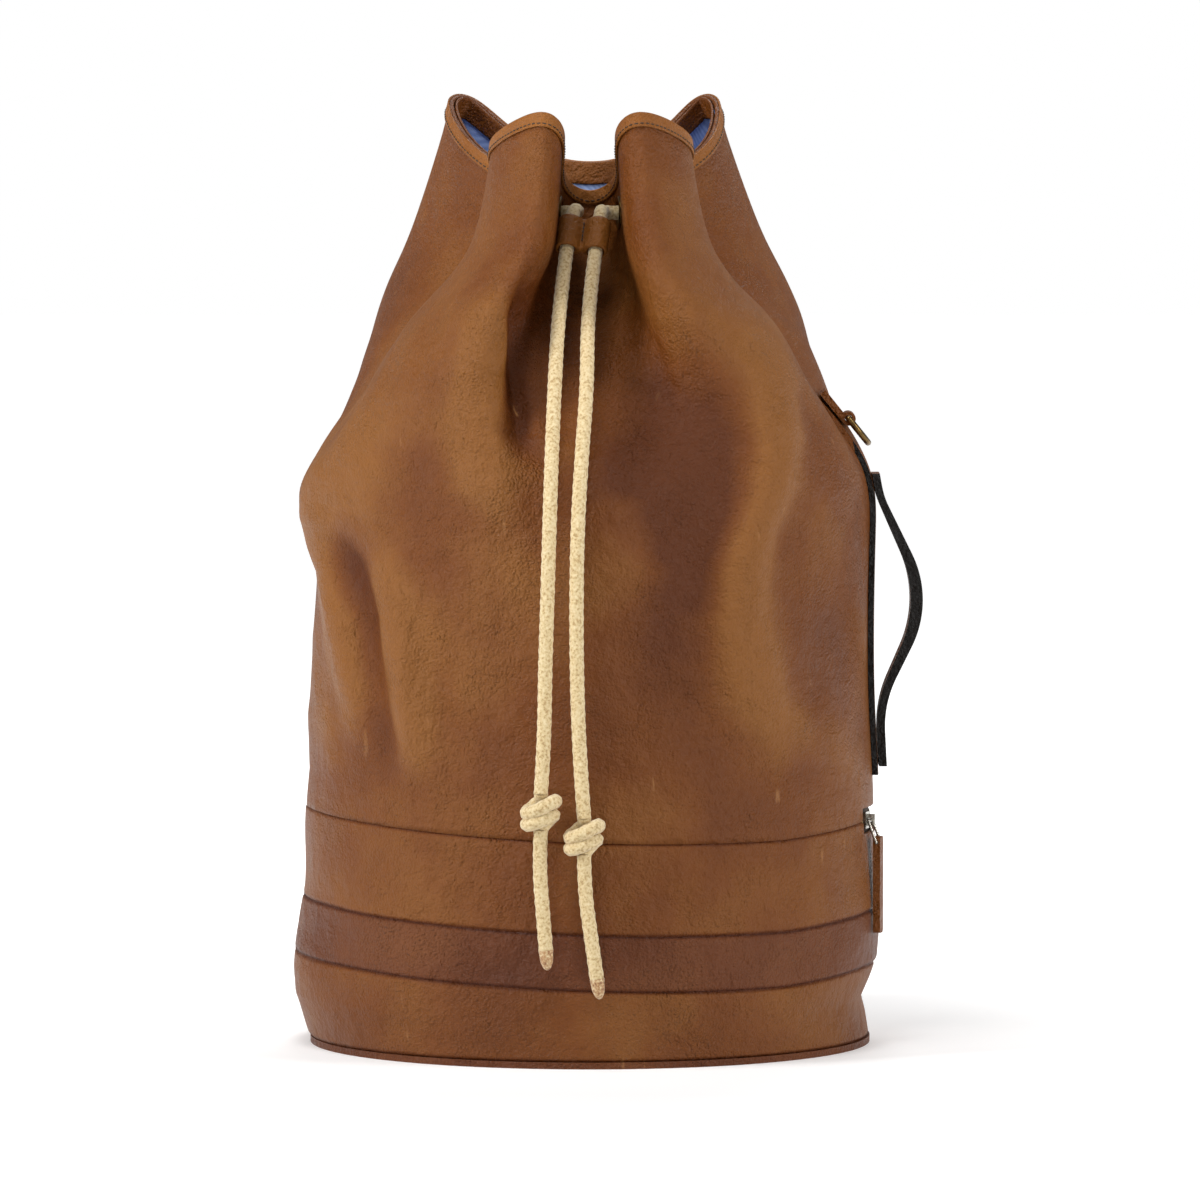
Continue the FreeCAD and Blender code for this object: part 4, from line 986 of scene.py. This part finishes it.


# %% [markdown]
# ### Pebbled cowhide
# The leather is vegetable-tanned cowhide with a waxed, pebbled grain. Light catches the top of each
# pebble, so the grain is a bump of cells about 1.3 mm across, broken up by finer noise. Tumbling
# makes the grain stronger in some places. The dye is uneven in random clouds and patches, and the
# colour is also darker in the folds' hollows and paler on their ridges: painted shade and painted
# light. Pale scuffs lie here and there.

# %% Leather finish
def leather(name, dark, mid, light, grain=1.0, edge_axis=None, edge_from=0.0):
    material, tree, shader = finish_named(name)
    place = add(tree, "ShaderNodeTexCoord").outputs["Object"]
    clouds = add(tree, "ShaderNodeTexNoise", Vector=place, Scale=11.0, Detail=5.0, Roughness=0.55)
    patches = add(tree, "ShaderNodeTexNoise", Vector=place, Scale=34.0, Detail=4.0, Roughness=0.6)
    # the fold attribute makes the colour darker in the fold hollows and paler on the ridges:
    # painted shade and painted light, added to the random clouds and patches of dye
    fold = add(tree, "ShaderNodeAttribute", {"attribute_name": "fold"})
    blend = add(tree, "ShaderNodeMath", {"operation": "MULTIPLY_ADD"}, in0=patches.outputs["Fac"],
                in1=0.35, in2=clouds.outputs["Fac"])
    tone = add(tree, "ShaderNodeMath", {"operation": "MULTIPLY_ADD"}, in0=fold.outputs["Fac"],
               in1=0.6, in2=blend.outputs["Value"])
    colour = ramp(tree, tone.outputs["Value"], [(0.26, dark), (0.64, mid), (0.98, light)])
    # pale scuffs: thin lines of a stretched noise, kept only where a second noise is high
    stretched = add(tree, "ShaderNodeMapping", Vector=place, Scale=(150, 150, 34),
                    Rotation=(0.3, 0.7, 0.5))
    lines = add(tree, "ShaderNodeTexNoise", Vector=stretched.outputs["Vector"], Scale=1.0,
                Detail=2.0)
    line = add(tree, "ShaderNodeMapRange", Value=lines.outputs["Fac"], From_Min=0.69, From_Max=0.80)
    few = add(tree, "ShaderNodeTexNoise", Vector=place, Scale=26.0, Detail=1.0)
    kept = add(tree, "ShaderNodeMapRange", Value=few.outputs["Fac"], From_Min=0.56, From_Max=0.66)
    scuff = add(tree, "ShaderNodeMath", {"operation": "MULTIPLY"}, in0=line.outputs["Result"],
                in1=kept.outputs["Result"])
    scuffed = add(tree, "ShaderNodeMix", {"data_type": "RGBA"},
                  in0=scuff.outputs["Value"], in6=colour,
                  in7=linear("#9C6E42"))
    surface = scuffed.outputs[2]
    if edge_axis is not None:
        apart = add(tree, "ShaderNodeSeparateXYZ", Vector=place)
        reach = add(tree, "ShaderNodeMath", {"operation": "ABSOLUTE"}, in0=apart.outputs[edge_axis])
        paint = add(tree, "ShaderNodeMath", {"operation": "GREATER_THAN"},
                    in0=reach.outputs["Value"],
                    in1=edge_from)
        surface = add(tree, "ShaderNodeMix", {"data_type": "RGBA"}, in0=paint.outputs["Value"],
                      in6=surface, in7=linear("#14110F")).outputs[2]
    tree.links.new(surface, shader.inputs["Base Color"])
    warp = add(tree, "ShaderNodeTexNoise", Vector=place, Scale=420.0, Detail=2.0)
    moved = add(tree, "ShaderNodeMix", {"data_type": "VECTOR"}, in0=0.0012, in4=place,
                in5=warp.outputs["Color"])
    cells = add(tree, "ShaderNodeTexVoronoi", {"feature": "SMOOTH_F1"}, Vector=moved.outputs[1],
                Scale=640.0, Smoothness=0.6)
    fine = add(tree, "ShaderNodeTexNoise", Vector=place, Scale=1500.0, Detail=2.0)
    height = add(tree, "ShaderNodeMath", {"operation": "MULTIPLY_ADD"}, in0=fine.outputs["Fac"],
                 in1=0.25, in2=cells.outputs["Distance"])
    strong = add(tree, "ShaderNodeMapRange", Value=patches.outputs["Fac"],
                 From_Min=0.38, From_Max=0.68,
                 To_Min=0.25 * grain, To_Max=0.95 * grain)
    pebbles = add(tree, "ShaderNodeBump", {"invert": True}, Strength=strong.outputs["Result"],
                  Distance=0.0014, Height=height.outputs["Value"])
    creases = add(tree, "ShaderNodeTexNoise", Vector=place, Scale=62.0, Detail=6.0, Roughness=0.66)
    wrinkled = add(tree, "ShaderNodeBump", Strength=0.8, Distance=0.007,
                   Height=creases.outputs["Fac"], Normal=pebbles.outputs["Normal"])
    tree.links.new(wrinkled.outputs["Normal"], shader.inputs["Normal"])
    gloss = add(tree, "ShaderNodeMapRange", Value=clouds.outputs["Fac"], From_Min=0.3, From_Max=0.7,
                To_Min=0.36, To_Max=0.48)
    tree.links.new(gloss.outputs["Result"], shader.inputs["Roughness"])
    shader.inputs["Specular IOR Level"].default_value = 0.2
    return material


hide = leather("waxed_cowhide", "#55290A", "#6C3B12", "#805022")
# paler leather for the mouth binding; on the toggle the same paler colour is painted light, lifting
# it out of the shade it sits in
paler_hide_toggle_painted_light = leather("paler_leather_toggle_painted_light", "#6A3810", "#84501E", "#9A6430", 0.6)
red_hide = leather("waxed_cowhide_darker", "#47200C", "#5D3014", "#714222", 1.15)
strip_hide = leather("edge_painted_hide", "#55290A", "#6C3B12", "#805022", 0.7, "Y", 0.0146)
handle_hide = leather("edge_painted_handle_hide", "#55290A", "#6C3B12", "#805022", 0.7, "Y", 0.0126)


# %% Painted edges, thread, cotton and metals
def plain(name, code, roughness, metallic=0.0, bump=None, specks=None, scale=900.0):
    """A finish of one colour with fine noise in its tone and its surface."""
    material, tree, shader = finish_named(name)
    place = add(tree, "ShaderNodeTexCoord").outputs["Object"]
    noise = add(tree, "ShaderNodeTexNoise", Vector=place, Scale=scale, Detail=3.0)
    colour = ramp(tree, noise.outputs["Fac"], [(0.35, specks or code), (0.6, code)])
    tree.links.new(colour, shader.inputs["Base Color"])
    shader.inputs["Roughness"].default_value = roughness
    shader.inputs["Metallic"].default_value = metallic
    made = add(tree, "ShaderNodeBump", Strength=bump or 0.15, Distance=0.0002,
               Height=noise.outputs["Fac"])
    tree.links.new(made.outputs["Normal"], shader.inputs["Normal"])
    return material


thread = plain("black_nylon_thread", "#17120E", 0.55, specks="#2A211A")
brass = plain("antique_brass", "#7A6138", 0.34, 1.0, specks="#4A3A22", scale=260.0)
steel = plain("nickel_plate", "#B9B4AA", 0.24, 1.0, specks="#8F8A80", scale=300.0)
teeth_metal = plain("brass_teeth", "#B59A66", 0.30, 1.0, specks="#7C6740", scale=300.0)
tape = plain("zip_tape_weave", "#3A2A20", 0.85, bump=0.6, specks="#2A1E17", scale=1200.0)
board = plain("fibre_board", "#3B342D", 0.8, specks="#2C2722")


# %% [markdown]
# ### Cotton cord and twill lining
# The cord is bleached cotton with a few darker fibres, so its colour is cream with fine specks, and
# the bump is a yarn's twist, finer than the braid that the mesh already has. The lining is a blue
# cotton twill, whose diagonal ribs are about 1 mm apart so that they show.

# %% Cotton
def cotton_cord(name, base, specks, glue=None):
    material, tree, shader = finish_named(name)
    place = add(tree, "ShaderNodeTexCoord").outputs["Object"]
    fibres = add(tree, "ShaderNodeTexNoise", Vector=place, Scale=1300.0, Detail=3.0, Roughness=0.7)
    flecks = add(tree, "ShaderNodeTexNoise", Vector=place, Scale=620.0, Detail=2.0)
    colour = ramp(tree, flecks.outputs["Fac"], [(0.33, specks), (0.46, base), (0.75, "#DCCBA2")])
    tree.links.new(colour, shader.inputs["Base Color"])
    shader.inputs["Roughness"].default_value = 0.9 if glue is None else 0.35
    shader.inputs["Sheen Weight"].default_value = 0.3
    shader.inputs["Sheen Roughness"].default_value = 0.6
    fuzz = add(tree, "ShaderNodeBump", Strength=0.6, Distance=0.0003, Height=fibres.outputs["Fac"])
    tree.links.new(fuzz.outputs["Normal"], shader.inputs["Normal"])
    return material


cotton = cotton_cord("braided_cotton", "#C9B182", "#A88A58")
glued = cotton_cord("glued_cotton", "#A97C48", "#7A4A20", glue=True)


def twill(name, base, shade):
    material, tree, shader = finish_named(name)
    place = add(tree, "ShaderNodeTexCoord").outputs["Object"]
    ribs = add(tree, "ShaderNodeTexWave", {"bands_direction": "DIAGONAL"}, Vector=place,
               Scale=160.0,
               Distortion=0.6)
    colour = ramp(tree, ribs.outputs["Fac"], [(0.0, shade), (1.0, base)])
    tree.links.new(colour, shader.inputs["Base Color"])
    shader.inputs["Roughness"].default_value = 0.9
    bump = add(tree, "ShaderNodeBump", Strength=0.4, Distance=0.0003, Height=ribs.outputs["Fac"])
    tree.links.new(bump.outputs["Normal"], shader.inputs["Normal"])
    return material


lining_cloth = twill("blue_cotton_twill", "#A3B8E4", "#869DD0")

# %% [markdown]
# ## Dressing the pieces
# Every new piece rides on the body that carries it, stands for the plain construction solid it
# replaces, and takes its finish. Construction nodes whose shape is right keep it and only get a
# finish.

# %% Give each piece its place and finish
def place(piece, body, material, slot=None, stands_for=()):
    dressed(piece, material)
    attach(piece, body)
    if stands_for:
        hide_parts(*stands_for)
    return piece


place(panel, "bag", hide, "leather_main", ["main_panel"])
place(lining, "bag", lining_cloth, "lining_cotton", ["lining"])
place(facing, "bag", hide, "leather_main", ["mouth_facing"])
place(binding, "bag", paler_hide_toggle_painted_light, "leather_main", ["mouth_binding"])
place(compartment, "bag", hide, "leather_main", ["compartment_band"])
place(middle, "bag", red_hide, "leather_band", ["middle_band"])
place(base, "bag", hide, "leather_main", ["base_band"])
place(binding_stitches, "bag", thread)
place(drawcord, "bag", cotton, "cotton_cord", ["drawcord"])
# the toggle's paler leather is painted light
place(toggle, "toggle", paler_hide_toggle_painted_light, "leather_main", ["cord_toggle"])
place(toggle_stitches, "toggle", thread)
for number, eyelet in enumerate(eyelets, start=1):
    place(eyelet, "bag", brass, "antique_brass", [f"eyelet_{number}"])
for side in ("left", "right"):
    place(tails[side], "bag", cotton, "cotton_cord", [f"cord_tail_{side}"])
    place(ends[side], "bag", cotton, "cotton_cord", [f"cord_end_{side}"])
    place(knots[side], "bag", cotton, "cotton_cord", [f"cord_knot_{side}"])
    place(tips[side], "bag", glued, "glued_tip", [f"cord_tip_{side}"])
for name in ("upper", "lower"):
    place(teeth[name], "bag", teeth_metal, "zip_metal", [f"zip_teeth_{name}"])

CAD_FINISHES = {
    "base_panel": red_hide, "base_board": board, "compartment_divider": red_hide,
    # the welt is darker leather, and its dark colour also stands in for part of the contact shadow
    # along the base: painted shade
    "base_welt": red_hide, "zip_tape_upper": tape, "zip_tape_lower": tape,
    "zip_slider": steel, "zip_end_stops": steel, "zip_pull_link": steel, "zip_puller": hide,
    "side_strip": strip_hide, "handle_backing": handle_hide, "handle_filler": handle_hide,
    "handle_strap": handle_hide, "d_ring": brass, "d_ring_tab": hide,
}
for node, material in CAD_FINISHES.items():
    dressed(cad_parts[node], material)
for number in range(1, 9):
    dressed(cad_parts[f"eyelet_washer_{number}"], brass)

for side in ("left", "right"):
    line, length = tail_lines[side]
    line, length = end_lines[side]


def one_side_area(piece):
    """Half the area of a thin closed piece, in square metres."""
    areas = np.zeros(len(piece.data.polygons), np.float32)
    piece.data.polygons.foreach_get("area", areas)
    return float(areas.sum()) / 2


print("lining area", round(one_side_area(lining), 4), "square metres")

# %% [markdown]
# ## Light
# A catalogue picture uses big soft lights, so shadows are faint and the leather shows broad, pale
# sheens along its ridges. One large light stands at the left front, a weaker one at the right, and
# one above. The room itself is white.

# %% Floor and lights
FLOOR_REACH = 14.0
floor_grid = np.array([[(x, y, 0.0) for y in (-FLOOR_REACH, FLOOR_REACH)]
                       for x in (-FLOOR_REACH, FLOOR_REACH)])
floor = grid_piece("studio_floor", floor_grid / MM)
paper, paper_tree, paper_shader = finish_named("white_studio_paper")
paper_shader.inputs["Base Color"].default_value = linear("#F4F4F4")
paper_shader.inputs["Roughness"].default_value = 0.9
paper_shader.inputs["Emission Color"].default_value = linear("#FFFFFF")
# the paper glows behind the bag and far in front of it, but not beside it, so its front is lit by
# the softboxes and keeps its depth, and the floor looks white from every side
paper_place = add(paper_tree, "ShaderNodeTexCoord").outputs["Object"]
paper_y = add(paper_tree, "ShaderNodeSeparateXYZ", Vector=paper_place).outputs["Y"]
behind = add(paper_tree, "ShaderNodeMapRange", Value=paper_y, From_Min=-0.3, From_Max=1.0,
             To_Min=0.0, To_Max=0.8)
before = add(paper_tree, "ShaderNodeMapRange", Value=paper_y, From_Min=-2.2, From_Max=-3.6,
             To_Min=0.0, To_Max=0.8)
glow = add(paper_tree, "ShaderNodeMath", {"operation": "ADD"}, in0=behind.outputs["Result"],
           in1=before.outputs["Result"])
paper_tree.links.new(glow.outputs["Value"], paper_shader.inputs["Emission Strength"])
dressed(floor, paper)

world = bpy.data.worlds.new("white_room")
bpy.context.scene.world = world
world.use_nodes = True
world.node_tree.nodes["Background"].inputs["Color"].default_value = (1, 1, 1, 1)
# the room looks white from every side, but gives only a little light of its own
seen = add(world.node_tree, "ShaderNodeLightPath").outputs["Is Camera Ray"]
room = add(world.node_tree, "ShaderNodeMapRange", Value=seen, To_Min=0.25, To_Max=1.0)
world.node_tree.links.new(room.outputs["Result"],
                          world.node_tree.nodes["Background"].inputs["Strength"])


def soft_light(name, place_at, target, width, height, power):
    data = bpy.data.lights.new(name, "AREA")
    data.shape, data.size, data.size_y, data.energy = "RECTANGLE", width, height, power
    light = bpy.data.objects.new(name, data)
    light.location = place_at
    direction = Vector(target) - Vector(place_at)
    light.rotation_euler = direction.to_track_quat("-Z", "Y").to_euler()
    bpy.context.scene.collection.objects.link(light)
    return light


soft_light("left_softbox", (-2.2, -1.1, 1.3), (0, 0, 0.3), 0.6, 1.5, 56)
soft_light("right_softbox", (2.2, -1.1, 1.1), (0, 0, 0.3), 0.5, 1.5, 38)
soft_light("top_softbox", (-0.3, -0.9, 2.2), (0, 0, 0.25), 0.8, 0.8, 19)
soft_light("back_softbox", (0.3, 1.9, 2.6), (0, 0, 0.25), 1.2, 1.0, 26)
bpy.context.scene.view_settings.view_transform = "Standard"
